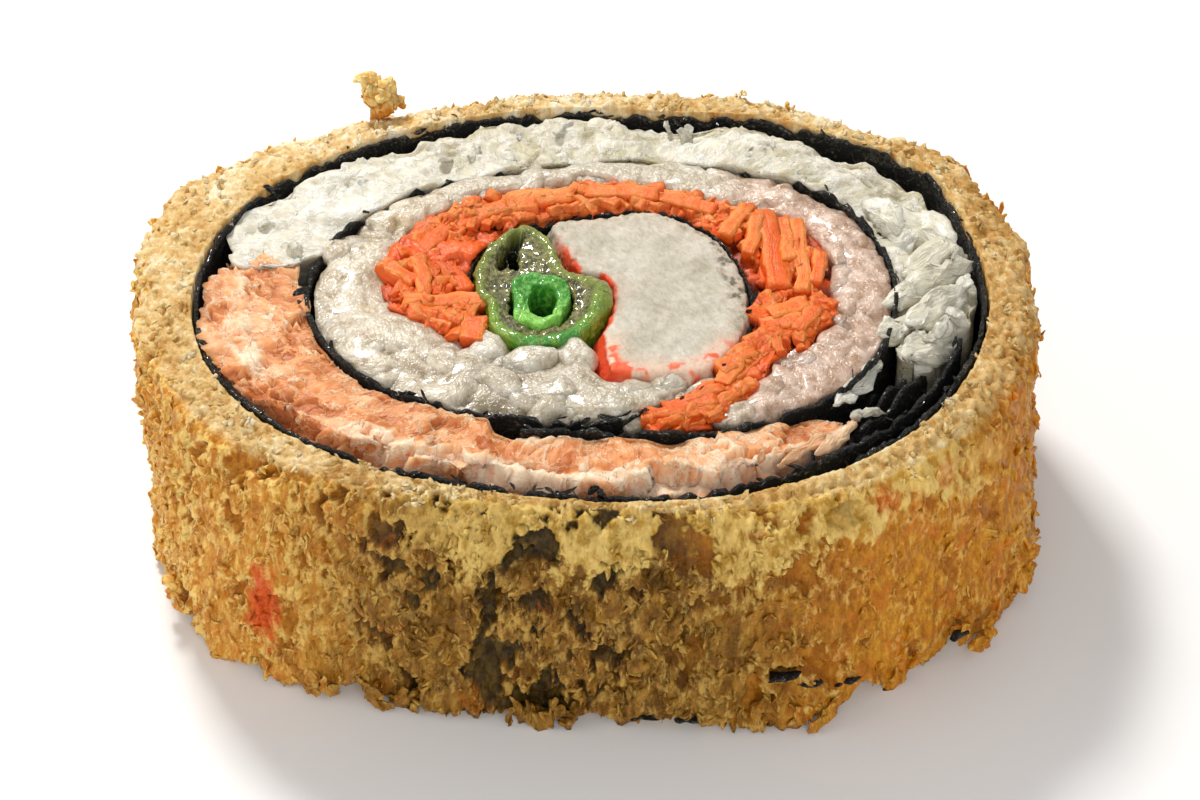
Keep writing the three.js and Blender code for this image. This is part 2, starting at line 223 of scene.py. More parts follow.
class Wire:
    """One output in a node tree. Arithmetic on it adds the Math nodes for it."""

    def __init__(self, net, socket):
        self.net = net
        self.socket = socket

    def math(self, operation, *values):
        return self.net.add("ShaderNodeMath", {"operation": operation}, dict(enumerate(values)))

    def __add__(self, other):
        return self.math("ADD", self, other)

    def __radd__(self, other):
        return self.math("ADD", other, self)

    def __sub__(self, other):
        return self.math("SUBTRACT", self, other)

    def __rsub__(self, other):
        return self.math("SUBTRACT", other, self)

    def __mul__(self, other):
        return self.math("MULTIPLY", self, other)

    def __rmul__(self, other):
        return self.math("MULTIPLY", other, self)

    def __truediv__(self, other):
        return self.math("DIVIDE", self, other)

    def __rtruediv__(self, other):
        return self.math("DIVIDE", other, self)

    def __pow__(self, other):
        return self.math("POWER", self, other)

    def __abs__(self):
        return self.math("ABSOLUTE", self)

    def least(self, other):
        return self.math("MINIMUM", self, other)

    def most(self, other):
        return self.math("MAXIMUM", self, other)

    def rise(self, low, high):
        """0 up to low, 1 from high on, and a smooth step between."""
        settings = {"interpolation_type": "SMOOTHSTEP"}
        return self.net.add("ShaderNodeMapRange", settings, {0: self, 1: low, 2: high})

    def vector(self, operation, other=None, output=0, **inputs):
        given = {0: self, **({} if other is None else {1: other}), **inputs}
        return self.net.add("ShaderNodeVectorMath", {"operation": operation}, given, output)

    def scaled(self, factor):
        return self.vector("SCALE", Scale=factor)

    def stretched(self, x, y, z):
        return self.vector("MULTIPLY", (x, y, z))

    def moved(self, other):
        return self.vector("ADD", other)

    def turned(self, degrees):
        """This vector turned about the upright axis."""
        inputs = {"Vector": self, "Angle": math.radians(degrees)}
        return self.net.add("ShaderNodeVectorRotate", {"rotation_type": "Z_AXIS"}, inputs)

    def away(self, point):
        """How far this place is from a point."""
        return self.vector("DISTANCE", point, "Value")

    def length(self):
        """How long a vector is."""
        return self.away((0, 0, 0))

    def parts(self):
        """The three numbers of a vector."""
        split = self.net.add("ShaderNodeSeparateXYZ", inputs={0: self}).socket.node.outputs
        return [Wire(self.net, socket) for socket in split]


def tint(red, green, blue):
    """A colour that is read off a picture, from 0 to 255, as the shaders take it."""
    linear = [((c / 255 + 0.055) / 1.055) ** 2.4 if c > 10 else c / 255 / 12.92
              for c in (red, green, blue)]
    return (*linear, 1.0)


def finish(name, soft=None, **constants):
    """A new material's net, and a function that feeds its shader and gives the material.

    soft is how much of the light goes in, how deep in millimetres, and each colour's share.
    """
    made = bpy.data.materials.new(name)
    made.use_nodes = True
    shader = made.node_tree.nodes["Principled BSDF"].inputs
    for socket, value in constants.items():
        shader[socket.replace("_", " ")].default_value = value
    if soft:
        shader["Subsurface Weight"].default_value = soft[0]
        shader["Subsurface Scale"].default_value = soft[1] * MM
        shader["Subsurface Radius"].default_value = soft[2:]

    def feed(**wires):
        for socket, wire in wires.items():
            made.node_tree.links.new(wire.socket, shader[socket.replace("_", " ")])
        return made

    return Net(made.node_tree), feed


def nearer_face(height):
    """A height that is measured from the nearer cut face, so that both faces look alike."""
    return abs(height - SLICE / 2) + SLICE / 2


def applied(piece):
    """A piece whose modifiers are made part of its plain mesh."""
    shown = piece.evaluated_get(bpy.context.evaluated_depsgraph_get())
    mesh = bpy.data.meshes.new_from_object(shown)
    piece.modifiers.clear()
    piece.data = mesh
    return piece


def sculpt(piece, skin, recipe, **sizes):
    """Runs a Geometry Nodes tree on a piece, and keeps the result as its plain mesh.

    skin is its material, and sizes are the tree's named inputs. recipe(net, geometry, size)
    gives the geometry back. It is held within the box of the part's solids, so that it also
    lies on the table.
    """
    tree = bpy.data.node_groups.new(piece.name, "GeometryNodeTree")
    modifier = piece.modifiers.new(piece.name, "NODES")
    modifier.node_group = tree
    tree.interface.new_socket("Geometry", in_out="INPUT", socket_type="NodeSocketGeometry")
    for label, value in sizes.items():
        socket = tree.interface.new_socket(label, in_out="INPUT", socket_type="NodeSocketFloat")
        modifier[socket.identifier] = float(value)
    socket = tree.interface.new_socket("Finish", in_out="INPUT", socket_type="NodeSocketMaterial")
    modifier[socket.identifier] = skin
    tree.interface.new_socket("Geometry", in_out="OUTPUT", socket_type="NodeSocketGeometry")
    net = Net(tree)
    entry = tree.nodes.new("NodeGroupInput").outputs
    size = {label: Wire(net, entry[label]) for label in sizes}
    shape = recipe(net, Wire(net, entry["Geometry"]), size)
    place = net.add("GeometryNodeInputPosition")
    held = place.vector("MAXIMUM", tuple(solid_box[0])).vector("MINIMUM", tuple(solid_box[1]))
    shape = net.add("GeometryNodeSetPosition", None, {"Geometry": shape, "Position": held})
    shape = net.add("GeometryNodeRealizeInstances", None, {0: shape})
    worn = {"Geometry": shape, "Material": Wire(net, entry["Finish"])}
    shape = net.add("GeometryNodeSetMaterial", None, worn)
    tree.links.new(shape.socket, tree.nodes.new("NodeGroupOutput").inputs[0])
    return applied(piece)


def note(piece, name, values):
    """Stores a number or a vector for each point of a piece, for its nodes to read."""
    values = np.asarray(values, np.float32)
    kind = "FLOAT" if values.ndim == 1 else "FLOAT_VECTOR"
    held = piece.data.attributes.new(name, kind, "POINT")
    held.data.foreach_set("value" if values.ndim == 1 else "vector", values.ravel())


def read(elements, name, width):
    """What a mesh holds under a name for each of its elements, one row for each."""
    flat = np.empty(len(elements) * width)
    elements.foreach_get(name, flat)
    return flat.reshape(-1, width)


def heading(sweep):
    """The direction of a sweep in degrees: 0 is the left, 90 the back, 180 the right."""
    angle = np.radians(180.0 - np.asarray(sweep, float))
    return np.stack([np.cos(angle), np.sin(angle)], -1)


def around(sweep, distance):
    """Where a distance from the middle of the roll is at a sweep, in millimetres."""
    return np.array(MIDDLE) / MM + np.asarray(distance)[..., None] * heading(sweep)


walls = {}
MOST_WALLS, PAST = 12, 1e-6  # met on one way out, and the step past each of them in metres


def crossings(node, sweep, height, middle=MIDDLE):
    """Distances from a middle, in millimetres, to a solid's walls at a height."""
    if node not in walls:
        walls[node] = BVHTree.FromObject(
            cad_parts[node], bpy.context.evaluated_depsgraph_get())
    way = Vector((*heading(sweep), 0.0))
    start = Vector((*middle, height * MM))
    found, travelled = [], 0.0
    while len(found) < MOST_WALLS:
        hit = walls[node].ray_cast(start + way * travelled, way)
        if hit[0] is None:
            break
        travelled += hit[3] + PAST
        found.append(travelled / MM)
    return found


def remeshed(name, node, grain, middle):
    """A node's solid as a new piece with an even mesh, whose faces have a size in millimetres.

    Its points hold, as "rim", how far each is from the solid's side, which is found by looking
    out from a middle.
    """
    made = linked(name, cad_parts[node].data.copy())
    even = made.modifiers.new("even", "REMESH")
    even.mode = "VOXEL"
    even.voxel_size = grain * MM
    even.use_smooth_shade = True
    applied(made)
    sweeps = np.arange(0, 360, 1.5)
    reach = [crossings(node, s, MIDWAY, Vector(middle) * MM)[-1] for s in sweeps]
    outline = np.array(middle) + np.array(reach)[:, None] * heading(sweeps)
    level = read(made.data.vertices, "co", 3)[:, None, :2] / MM
    note(made, "rim", np.linalg.norm(level - outline[None], axis=2).min(axis=1))
    return made


def settle(piece, node):
    """Fixes a finished piece in the part, in place of its solid."""
    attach(piece, "root")
    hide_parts(node)


crab_stick = remeshed("crab_block", "crab_stick", 0.3, CRAB_MIDDLE)


def fibres(net, shape, size):
    """A cut face with frayed fibres and a soft edge, spread a little over what lies round it."""
    place = net.place()
    x, y, z = place.parts()
    face = nearer_face(z).rise(SLICE - 2.0, SLICE - 0.3)
    rim = net.attribute("rim")
    frayed = net.noise(place.stretched(1, 1, 0.4), 0.9, 3, 0.65) - 0.5
    waves = net.noise(place, 4.0, 2) - 0.5
    height = (frayed * (0.25 + rim.rise(2.0, 0.2) * 0.5) + waves * 0.7 * face
              - rim.rise(0.8, 0.0) * (0.12 + y.rise(-2.0, -7.0) * 0.3) * face
              + size["Swelling"] * (1 - face))
    away = place.moved([-c for c in (*CRAB_MIDDLE, 0)]).stretched(1, 1, 0).vector("NORMALIZE")
    spread = away.scaled(rim.rise(1.2, 0.0) * face * x.rise(1.0, 5.0) * size["Spread"] * MM)
    return net.pushed(shape, net.outward(height).moved(spread))


def crab_flesh():
    """Off-white paste of soft fibres with its red rind, torn and dark where the sheet stuck."""
    net, feed = finish("crab_flesh", (0.45, 1.8, 1.0, 0.8, 0.6), Specular_IOR_Level=0.35)
    place = net.place()
    x, y, z = place.parts()
    rim = net.attribute("rim")
    strands = net.noise(place.turned(-40).stretched(1, 0.6, 0.4), 0.5, 3, 0.65)
    cloudy = net.noise(place, 3.0, 4, 0.6)
    paste = net.ramp(strands * 0.45 + cloudy * 0.55, (0.3, 162, 153, 130),
                     (0.5, 193, 185, 168), (0.7, 220, 213, 200))
    wander = net.noise(place, 1.3, 2) - 0.5
    left = (rim + wander * 0.9).rise(0.6, 0.25) * x.rise(3.2, 1.8) * y.rise(8.5, 5.0)
    patches = net.noise(place.stretched(1, 1, 0.15), 1.7, 2).rise(0.5, 0.58)
    front = (rim + wander * 1.2).rise(1.8, 1.1) * y.rise(-5.4, -7.0)
    blush = (rim + wander * 1.5).rise(2.8, 0.6) * y.rise(-4.0, -7.0)
    frayed = net.noise(place, 0.8, 3, 0.65).rise(0.5, 0.62) * rim.rise(2.4, 0.4)
    wall = nearer_face(z).rise(SLICE - 2.0, SLICE - 3.6) * (strands + wander).rise(0.2, 0.5)
    reach = 1.1 + x.rise(8.0, 13.0) * 0.9
    smudges = net.noise(place.stretched(1, 1, 0.3), 1.3, 4, 0.7).rise(0.46, 0.62)
    dark = smudges * (reach - rim).rise(-0.2, 1.1) * (y + x * 0.5).rise(0.0, 5.0)
    stuck = net.mix(smudges.rise(0.6, 1.0), (140, 122, 84), (52, 44, 26))
    tone = net.painted(
        paste, (blush * 0.5, (246, 196, 168)), (frayed * 0.45, (206, 168, 150)),
        (front * patches, (234, 98, 54)), (wall * 0.85, (226, 84, 44)), (left, (232, 78, 38)),
        (dark * 0.75, stuck))
    return feed(Base_Color=tone, Roughness=0.4 + strands * 0.3,
                Normal=net.bump(strands + cloudy * 0.5, 0.15))


sculpt(crab_stick, crab_flesh(), fibres, Swelling=0.5, Spread=0.35)
settle(crab_stick, "crab_stick")

# The spring onion: a thick outer leaf, olive after frying, with a wet, bubbly inside and a slot
# where it was hollow, and a thin bright green leaf standing in its front half.
LOBE = (1.6, -1.2, 0.0)  # where the outer leaf is pressed on the crab stick
HOLLOW, HOLLOW_TURN = (-6.5, 5.6, 0), 22  # the slot's middle, and its turn in degrees
HOLLOW_LONG, HOLLOW_WIDE = 2.4, 0.55  # half its length and half its width
outer_leaf = remeshed("onion_outer_leaf", "outer_leaf", 0.18, (-4.2, 0.6))
inner_leaf = remeshed("onion_inner_leaf", "inner_leaf", 0.15, (-3.9, -1.2))


def slotted(place):
    """1 in the middle of the outer leaf's own slot and 0 beside it."""
    held = place.moved([-c for c in HOLLOW]).stretched(1, 1, 0).turned(HOLLOW_TURN)
    return held.stretched(1 / HOLLOW_WIDE, 1 / HOLLOW_LONG, 0).length().rise(1.25, 0.55)


def leaf_swelling(net, shape, size):
    """Small blisters on the cut, slow waves down the sides, and a lobe pressed on the crab."""
    place = net.place()
    rim = net.attribute("rim")
    blister = net.cells(place, 0.75).rise(0.55, 0.0)
    waves = net.noise(place.stretched(1, 1, 0.4), 2.2, 2) - 0.5
    lobe = place.stretched(1, 1, 0).away(LOBE).rise(3.6, 0.4)
    height = (blister * size["Blisters"] + waves * size["Waves"]
              + (size["Swelling"] + lobe * size["Lobe"]) * rim.rise(1.2, 0.3))
    warp = net.wobble(place.stretched(1, 1, 0.15), 3.6, 1).stretched(1, 1, 0)
    sunk = rim.rise(0.2, 2.4) * size["Cupping"] + slotted(place) * size["Slot"]
    uneven = (net.noise(place.stretched(1, 1, 0), 2.4, 2) - 0.5) * size["Waves"] * 2
    dish = net.upward((uneven - sunk) * place.parts()[2].rise(SLICE - 0.6, SLICE))
    offset = net.outward(height).moved(dish).moved(warp.scaled(size["Warp"] * MM))
    return net.pushed(shape, offset)


def outer_leaf_skin():
    """A shiny olive skin, yellow-green at the front, round dark, wet and bubbly flesh.

    Its flesh has painted glints, and painted shade darkens its slot and the walls of its hollow.
    """
    net, feed = finish("olive_leaf", (0.3, 0.8, 0.6, 1.0, 0.3), Coat_Weight=0.9,
                       Coat_Roughness=0.06)
    place = net.place()
    x, y, z = place.parts()
    rim = net.attribute("rim")
    jelly = net.noise(place, 0.55, 3, 0.7)
    slow = net.noise(place, 1.8, 2)
    streaks = net.noise(place.stretched(1, 1, 0.15), 0.8, 2).rise(0.45, 0.7)
    flesh = net.mix(jelly.rise(0.4, 0.6), (70, 70, 26), (138, 132, 66))
    # The pale spots in the flesh are painted glints.
    flesh = net.mix(jelly.rise(0.62, 0.7) * slow.rise(0.35, 0.6), flesh, (222, 222, 198))
    skin = net.mix(y.rise(1.0, -5.5), (122, 132, 38), (120, 170, 36))
    green = y.rise(-3.8, -5.4) * x.rise(-7.2, -4.4)
    skin = net.painted(skin, (green, (62, 152, 36)), (streaks * 0.5, (170, 178, 74)))
    # This darkening is painted shade down the inner walls, below the cut face and away from the
    # rim.
    dark = nearer_face(z).rise(SLICE - 0.8, SLICE - 2.6) * rim.rise(0.8, 1.6)
    # The slot's near-black colour under the cut face is painted shade too.
    tone = net.painted(
        skin, ((rim + (slow - 0.5) * 0.7).rise(0.45, 1.0), flesh),
        (slotted(place) * z.rise(SLICE - 6, SLICE - 1), (20, 20, 10)),
        (dark * 0.9, (26, 26, 10)))
    return feed(Base_Color=tone, Roughness=0.2 + slow * 0.3, Normal=net.bump(jelly, 0.5))


def inner_leaf_skin():
    """Bright green, yellower on the cut, with fine ribs down into a hollow.

    The hollow is darkened with painted shade.
    """
    net, feed = finish("green_leaf", (0.25, 0.6, 0.4, 1.0, 0.3), Coat_Weight=0.4,
                       Coat_Roughness=0.12)
    place = net.place()
    _, y, z = place.parts()
    fine = net.noise(place, 0.5, 3, 0.65)
    ribs = net.noise(place.stretched(1, 1, 0.08), 0.4, 2, 0.6)
    height = nearer_face(z)
    tone = net.mix((fine + y.rise(-1.0, -4.5) * 0.3).rise(0.4, 0.75), (44, 140, 34),
                   (140, 208, 84))
    ribbed = ribs.rise(0.45, 0.65) * height.rise(SLICE - 0.3, SLICE - 1.2) * 0.8
    # Below the cut face the leaf is painted darker and darker with shade, near black deep in the
    # hollow.
    tone = net.painted(tone, (ribbed, (24, 96, 26)),
                       (height.rise(SLICE - 1.4, SLICE - 4.0) * 0.9, (6, 40, 14)))
    return feed(Base_Color=tone, Roughness=0.25 + fine * 0.4, Normal=net.bump(fine + ribs, 0.3))


sculpt(outer_leaf, outer_leaf_skin(), leaf_swelling, Blisters=0.25, Waves=0.4, Swelling=0.2,
       Lobe=0.7, Cupping=0.35, Slot=1.8, Warp=0.8)
sculpt(inner_leaf, inner_leaf_skin(), leaf_swelling, Blisters=0.1, Waves=0.9, Swelling=0.1,
       Lobe=0.0, Cupping=0.0, Slot=0.0, Warp=2.6)
settle(outer_leaf, "outer_leaf")
settle(inner_leaf, "inner_leaf")

# The inner seaweed: one toasted sheet, nearly black, that winds round the crab stick first and
# then round the rice. Its cut edge is torn and stands at uneven heights.
SHEET_FOOT = 0.45  # height of a sheet's lower edge, in millimetres


def lofted(name, sections, ring=False):
    """A closed mesh through sections of points, in millimetres, that each go once round.

    ring also joins the last section to the first; else both ends get a cap.
    """
    rows, columns = sections.shape[:2]
    index = np.arange(rows * columns).reshape(rows, columns)
    ahead = np.roll(index, -1, axis=0) if ring else index[1:]
    here = index if ring else index[:-1]
    quads = np.stack([here, ahead, np.roll(ahead, -1, 1), np.roll(here, -1, 1)], -1)
    faces = quads.reshape(-1, 4).tolist()
    if not ring:
        faces += [index[0].tolist(), index[-1, ::-1].tolist()]
    points = sections.reshape(-1, 3)
    a, b, c, d = (points[quads.reshape(-1, 4)[:, k]] for k in range(4))
    if np.sum(np.einsum("ij,ij->i", a, np.cross(b - a, c - a) + np.cross(c - a, d - a))) < 0:
        faces = [face[::-1] for face in faces]
    made = linked(name, bpy.data.meshes.new(name))
    made.data.from_pydata((points * MM).tolist(), [], faces)
    made.data.validate()
    made.data.polygons.foreach_set("use_smooth", [True] * len(made.data.polygons))
    return made


class Band:
    """A layer of the roll, from one sweep to another, as its solid has it halfway up.

    first is about how far its inner wall is from the middle at the start. before and after let
    it reach past the ends of the solid, on to its neighbours.
    """

    def __init__(self, node, start, end, first, before=0.0, after=0.0):
        self.sweeps = np.arange(start, end + 0.5)
        self.inner, self.outer = np.empty((2, len(self.sweeps)))
        for i, sweep in enumerate(self.sweeps):
            found = crossings(node, sweep, SLICE / 2)
            pairs = list(zip(found[::2], found[1::2]))
            first, last = min(pairs, key=lambda pair: abs(pair[0] - first))
            self.inner[i], self.outer[i] = first, last
        self.sweeps[[0, -1]] += (-before, after)
        level = self.at(self.sweeps, 0.5)
        steps = np.linalg.norm(np.diff(level, axis=0), axis=1)
        self.lengths = np.concatenate([[0], np.cumsum(steps)])

    def at(self, sweeps, share):
        """Where a share of the way through the layer is at some sweeps, in millimetres."""
        inner = np.interp(sweeps, self.sweeps, self.inner)
        outer = np.interp(sweeps, self.sweeps, self.outer)
        return around(sweeps, inner + share * (outer - inner))

    def stations(self, step):
        """Sweeps at an even step along the layer, in millimetres, and their lengths along it."""
        lengths = np.linspace(0, self.lengths[-1], int(self.lengths[-1] / step) + 1)
        return np.interp(lengths, self.lengths, self.sweeps), lengths


def rough(values, size, seed):
    """Smooth random numbers of about -1 to 1 along some lengths, with waves of a size."""
    return np.array([2 * noise.noise((v / size, seed * 7.3, 0.5)) for v in values])


def slope(values, start, end):
    """0 at a start, 1 at an end, straight between and level beyond them."""
    return np.clip((values - start) / (end - start), 0, 1)


def bell(sweeps, middle, width):
    """1 at a sweep and falling to 0 on both sides of it."""
    away = (np.asarray(sweeps) - middle + 180) % 360 - 180
    return np.exp(-((away / width) ** 2))


def depths(top, bottom, fine, coarse, margin=3.0):
    """Heights from a top to a bottom, fine within a margin of both and coarse between."""
    edge = np.arange(0, margin, fine)
    middle = np.arange(margin, top - bottom - margin, coarse)
    return np.concatenate([top - edge, top - middle, bottom + edge[::-1]])


def sheet(name, band, seed, top, thin):
    """A seaweed sheet along a band, with a torn upper edge.

    top(sweeps) gives its height, and thin(sweeps) the share of its solid's thickness.
    """
    sweeps, lengths = band.stations(0.35)
    torn = 0.35 * rough(lengths, 2.1, seed) + 0.35 * rough(lengths, 0.7, seed + 1)
    tops = (top(sweeps) + np.clip(torn, -0.7, 0.2))[:, None]
    share = (SLICE - depths(SLICE, SHEET_FOOT, 0.3, 1.6)) / (SLICE - SHEET_FOOT)
    heights = tops + share * (SHEET_FOOT - tops)
    middle = band.at(sweeps, 0.5)
    half = (band.at(sweeps, 1.0) - middle) * thin(sweeps)[:, None]
    sides = []
    for side, order in ((middle - half, slice(None, None, -1)), (middle + half, slice(None))):
        level = np.repeat(side[:, None], len(share), 1)
        sides.append(np.concatenate([level, heights[:, order, None]], -1))
    return lofted(name, np.concatenate(sides, 1))


def inner_top(sweeps):
    """At the back, fish and rice close over the sheet's second turn but for a few cracks."""
    covered = slope(sweeps, 384, 392) * slope(sweeps, 506, 498)
    for crack, width in ((402, 2.5), (411, 2.0), (424, 1.5), (459, 1.5), (488, 2.0), (500, 2.0)):
        covered = covered * (1 - bell(sweeps, crack, width))
    return SLICE - 0.2 - 1.5 * covered - 0.4 * slope(sweeps, 225, 210)


inner_band = Band("inner_nori", 1, 649, 10.0)
inner_nori = sheet("inner_sheet", inner_band, 3, inner_top,
                   lambda sweeps: 0.25 + 0.25 * slope(sweeps, 270, 300))


def crumpled(net, shape, size):
    """Small sharp creases all over a sheet."""
    place = net.place()
    creases = net.wobble(place, 1.3, 3, 0.7).scaled(size["Creases"] * MM)
    fine = net.wobble(place.stretched(1, 1, 0.5), 0.5, 2, 0.7)
    return net.pushed(shape, creases.moved(fine.scaled(size["Creases"] * 0.6 * MM)))


def seaweed():
    """Nearly black seaweed with wet glints, brown where it is thin, and a few grey fibres."""
    net, feed = finish("seaweed", Specular_IOR_Level=0.35)
    place = net.place()
    fine = net.noise(place, 0.3, 3, 0.7)
    patches = net.noise(place, 2.0, 3, 0.6)
    tone = net.mix(patches.rise(0.5, 0.75), (9, 10, 7), (30, 24, 13))
    hairs = abs(net.noise(place, 1.4, 3, 0.5) - 0.5).rise(0.012, 0.004) * fine.rise(0.4, 0.6)
    wet = (fine * 0.6 + patches * 0.4).rise(0.5, 0.6)
    return feed(Base_Color=net.mix(hairs * 0.55, tone, (150, 142, 122)),
                Roughness=0.55 - wet * 0.4, Coat_Weight=wet, Normal=net.bump(fine, 0.8))


nori = seaweed()
sculpt(inner_nori, nori, crumpled, Creases=0.25)
settle(inner_nori, "inner_nori")

# The carrot: raw shreds pressed together in a layer outside the first turn of seaweed. Most
# were cut through with the roll, and on the right some lie flat, pulled along by the knife.
BED_FOOT = 0.2  # height of a layer's underside, in millimetres
# Long shreds that the knife laid flat: middle, length, width and turn in degrees.
LAID_SHREDS = (
    (15.4, 5.7, 10.6, 1.9, 95), (17.9, 5.0, 9.6, 1.3, 91), (16.9, 7.1, 6.3, 1.2, 93),
    (13.9, 7.6, 5.6, 1.2, 78), (19.2, 3.2, 4.0, 1.1, 80), (12.6, 9.6, 4.6, 1.3, 62),
    (16.6, -2.2, 3.6, 1.6, 20), (14.7, -2.6, 3.2, 1.5, 150), (18.0, -3.4, 3.4, 1.3, 60),
    (15.9, -3.6, 3.8, 1.4, 10), (13.4, -6.6, 5.0, 1.8, 50), (14.6, -5.2, 4.2, 1.5, 34),
    (12.2, -8.4, 4.2, 1.6, 42), (10.6, -11.6, 3.4, 1.6, 25), (8.3, -13.7, 4.4, 1.5, 12),
    (6.3, -14.8, 3.6, 1.3, 8), (11.6, -10.2, 3.0, 1.5, 66), (9.4, -12.8, 3.4, 1.2, 20),
    (-11.9, -0.8, 7.0, 1.3, 2), (-12.2, -2.4, 5.2, 1.3, -2), (-12.0, 4.6, 9.0, 1.5, 115),
    (-16.1, 2.6, 3.6, 1.4, 142), (-9.3, -4.6, 2.8, 1.9, 80), (-14.0, 2.2, 5.0, 1.3, 96),
    (-13.2, 6.8, 4.6, 1.4, 60), (-9.0, 10.6, 5.2, 1.5, 25), (-4.0, 13.0, 6.0, 1.4, 5),
    (3.0, 13.4, 6.0, 1.4, -4), (8.6, 12.0, 5.0, 1.4, -24), (-6.6, 11.4, 4.6, 1.2, 12))
rng = np.random.default_rng(12)


def slab(name, band, top, lips, step=0.3, columns=22, taper=2.0):
    """A layer of filling along a band.

    top(lengths, share) gives the height of its cut face, and lips(sweeps) how far its two upper
    edges spread over their neighbours, the inner one first, in millimetres. taper is how long
    its rounded ends are. Its points hold how far along, across and up they are, as "lay", how far
    through the layer, as "share", and 1 on the cut face, as "face".
    """
    sweeps, lengths = band.stations(step)
    ends = np.minimum(lengths, lengths[-1] - lengths)
    narrow = np.sqrt(1 - (1 - slope(ends, 0, taper)) ** 2) * 0.96 + 0.04
    width = np.linalg.norm(band.at(sweeps, 1.0) - band.at(sweeps, 0.0), axis=1)
    inner_lip, outer_lip = (np.broadcast_to(lip, width.shape) / width for lip in lips(sweeps))
    deep = SLICE - depths(SLICE, BED_FOOT, 0.35, 1.5)[1:-1]
    rows = []

    def row(share, height, lip, face):
        spread = np.where(share < 0.5, -inner_lip * (1 - share * 2), outer_lip * (share * 2 - 1))
        level = band.at(sweeps, 0.5 + (share - 0.5 + lip * spread) * narrow)
        rows.append((np.column_stack([level, height]), share, face))

    def wall(share, order):
        edge = top(lengths, share)
        for depth in order:
            height = edge - (edge - BED_FOOT) * depth / (SLICE - BED_FOOT)
            row(share, height, max(0, 1 - depth / 2), 0.0)

    across = np.linspace(0, 1, columns)
    for share in across:
        row(share, top(lengths, share), 1.0, 1.0)
    wall(1.0, deep)
    for share in across[::-1]:
        row(share, np.full(len(sweeps), BED_FOOT), 0.0, 0.5)
    wall(0.0, deep[::-1])
    sections = np.stack([points for points, _, _ in rows], 1)
    made = lofted(name, sections)
    shares = np.tile([share for _, share, _ in rows], len(sweeps))
    near_end = 0.7 * np.clip(1 - ends / 2.5, 0, 1)
    along, wide, near_end = (np.repeat(v, len(rows)) for v in (lengths, width, near_end))
    note(made, "lay", np.column_stack([along, shares * wide, sections[..., 2].ravel()]))
    note(made, "share", shares)
    note(made, "face", np.maximum(np.tile([face for _, _, face in rows], len(sweeps)), near_end))
    return made


def drawn(count, *ranges):
    """Rows of random numbers, one from each range."""
    return np.column_stack([rng.uniform(*bounds, count) for bounds in ranges])


def scattered(band, count, margin, shares, depth):
    """Spots scattered over a layer's cut face, and their sweeps.

    margin is how far they stay from its ends in degrees, shares where they are between its
    sides, and depth how far under the cut face.
    """
    sweeps = rng.uniform(band.sweeps[0] + margin, band.sweeps[-1] - margin, count)
    share = rng.uniform(*shares, count)
    across = band.at(sweeps, 1.0) - band.at(sweeps, 0.0)
    level = band.at(sweeps, 0.5) + across * (share - 0.5)[:, None]
    return np.column_stack([level, SLICE - rng.uniform(*depth, count)]), sweeps


def strewn(name, *groups):
    """A cloud of points that loose bits will stand on.

    Each group has its bits' spots, turns and sizes, in rows of three numbers.
    """
    spots, turns, sizes = (np.concatenate(rows) for rows in zip(*groups))
    made = linked(name, bpy.data.meshes.new(name))
    made.data.from_pydata((spots * MM).tolist(), [], [])
    note(made, "turn", turns)
    note(made, "size", sizes * MM)
    note(made, "tone", rng.random(len(spots)))
    return made


def placed(x, y, z, roll, pitch, yaw, long, wide, thick):
    """A group for strewn, from a column for each number. Only yaw is in degrees."""
    return (np.column_stack([x, y, z]), np.column_stack([roll, pitch, np.radians(yaw)]),
            np.column_stack([long, wide, thick]))


def stood(net, points, bit):
    """A bit on every point, each made real, so that each is then bent in its own way.

    Each keeps its own unbent coordinates, from -0.5 to 0.5, for grain that runs along it.
    """
    bit = net.stored(bit, "own", net.add("GeometryNodeInputPosition"), "FLOAT_VECTOR")
    many = net.add("GeometryNodeInstanceOnPoints", None, {
        "Points": points, "Instance": bit, "Rotation": net.attribute("turn", True),
        "Scale": net.attribute("size", True)})
    return net.add("GeometryNodeRealizeInstances", None, {0: many})


def sliced(net, shape, level, kept):
    """A shape whose top the knife took off at a height, but for a share of what stood above."""
    above = (net.place().parts()[2] - level).most(0.0)
    return net.pushed(shape, net.upward(above * (kept - 1)))


def bent(net, shape, slow, slow_size, fast, fast_size):
    """A shape moved by slow and by fast noise, both in millimetres."""
    place = net.place()
    sway = net.wobble(place, slow_size, 1).scaled(slow * MM)
    jitter = net.wobble(place, fast_size, 2, 0.6).scaled(fast * MM)
    return net.pushed(shape, sway.moved(jitter))


carrot_band = Band("carrot", -24, 252, 10.0)
carrot_bed = slab("carrot_bed", carrot_band, lambda lengths, share: (
    SLICE - 1.0 + 0.6 * rough(lengths + 2 * share, 2.6, 11)), lambda sweeps: (0.5, 0.3))


def carrot_shreds(count):
    """Shreds of carrot in the top of the layer: strewn ones first, and then those laid flat."""
    spots, sweeps = scattered(carrot_band, count, -1, (0.1, 0.9), (0.35, 1.1))
    turns = np.column_stack([rng.uniform(-0.6, 0.6, count), rng.normal(0, 0.25, count),
                             np.radians(90 - sweeps) + rng.normal(0, 0.5, count)])
    sizes = drawn(count, (0.9, 3.0), (0.45, 1.1), (0.6, 1.0))
    x, y, long, wide, turned = np.array(LAID_SHREDS).T
    height, roll, pitch, thick = drawn(
        len(x), (SLICE - 0.9, SLICE - 0.3), (-0.3, 0.3), (-0.15, 0.15), (1.2, 1.9)).T
    return strewn("carrot_shreds", (spots, turns, sizes),
                  placed(x, y, height, roll, pitch, turned, long, wide, thick))


def lumpy_bed(net, shape, size):
    """An uneven layer of pressed bits, seen between the loose ones."""
    place = net.place()
    bits = net.cells(place, 1.1, "Color").parts()[0] - 0.5
    pits = net.noise(place, 0.8, 3, 0.6) - 0.5
    height = (bits + pits * 1.2) * (net.attribute("face") + 0.15).least(1.0)
    return net.pushed(shape, net.outward(height * size["Depth"]))


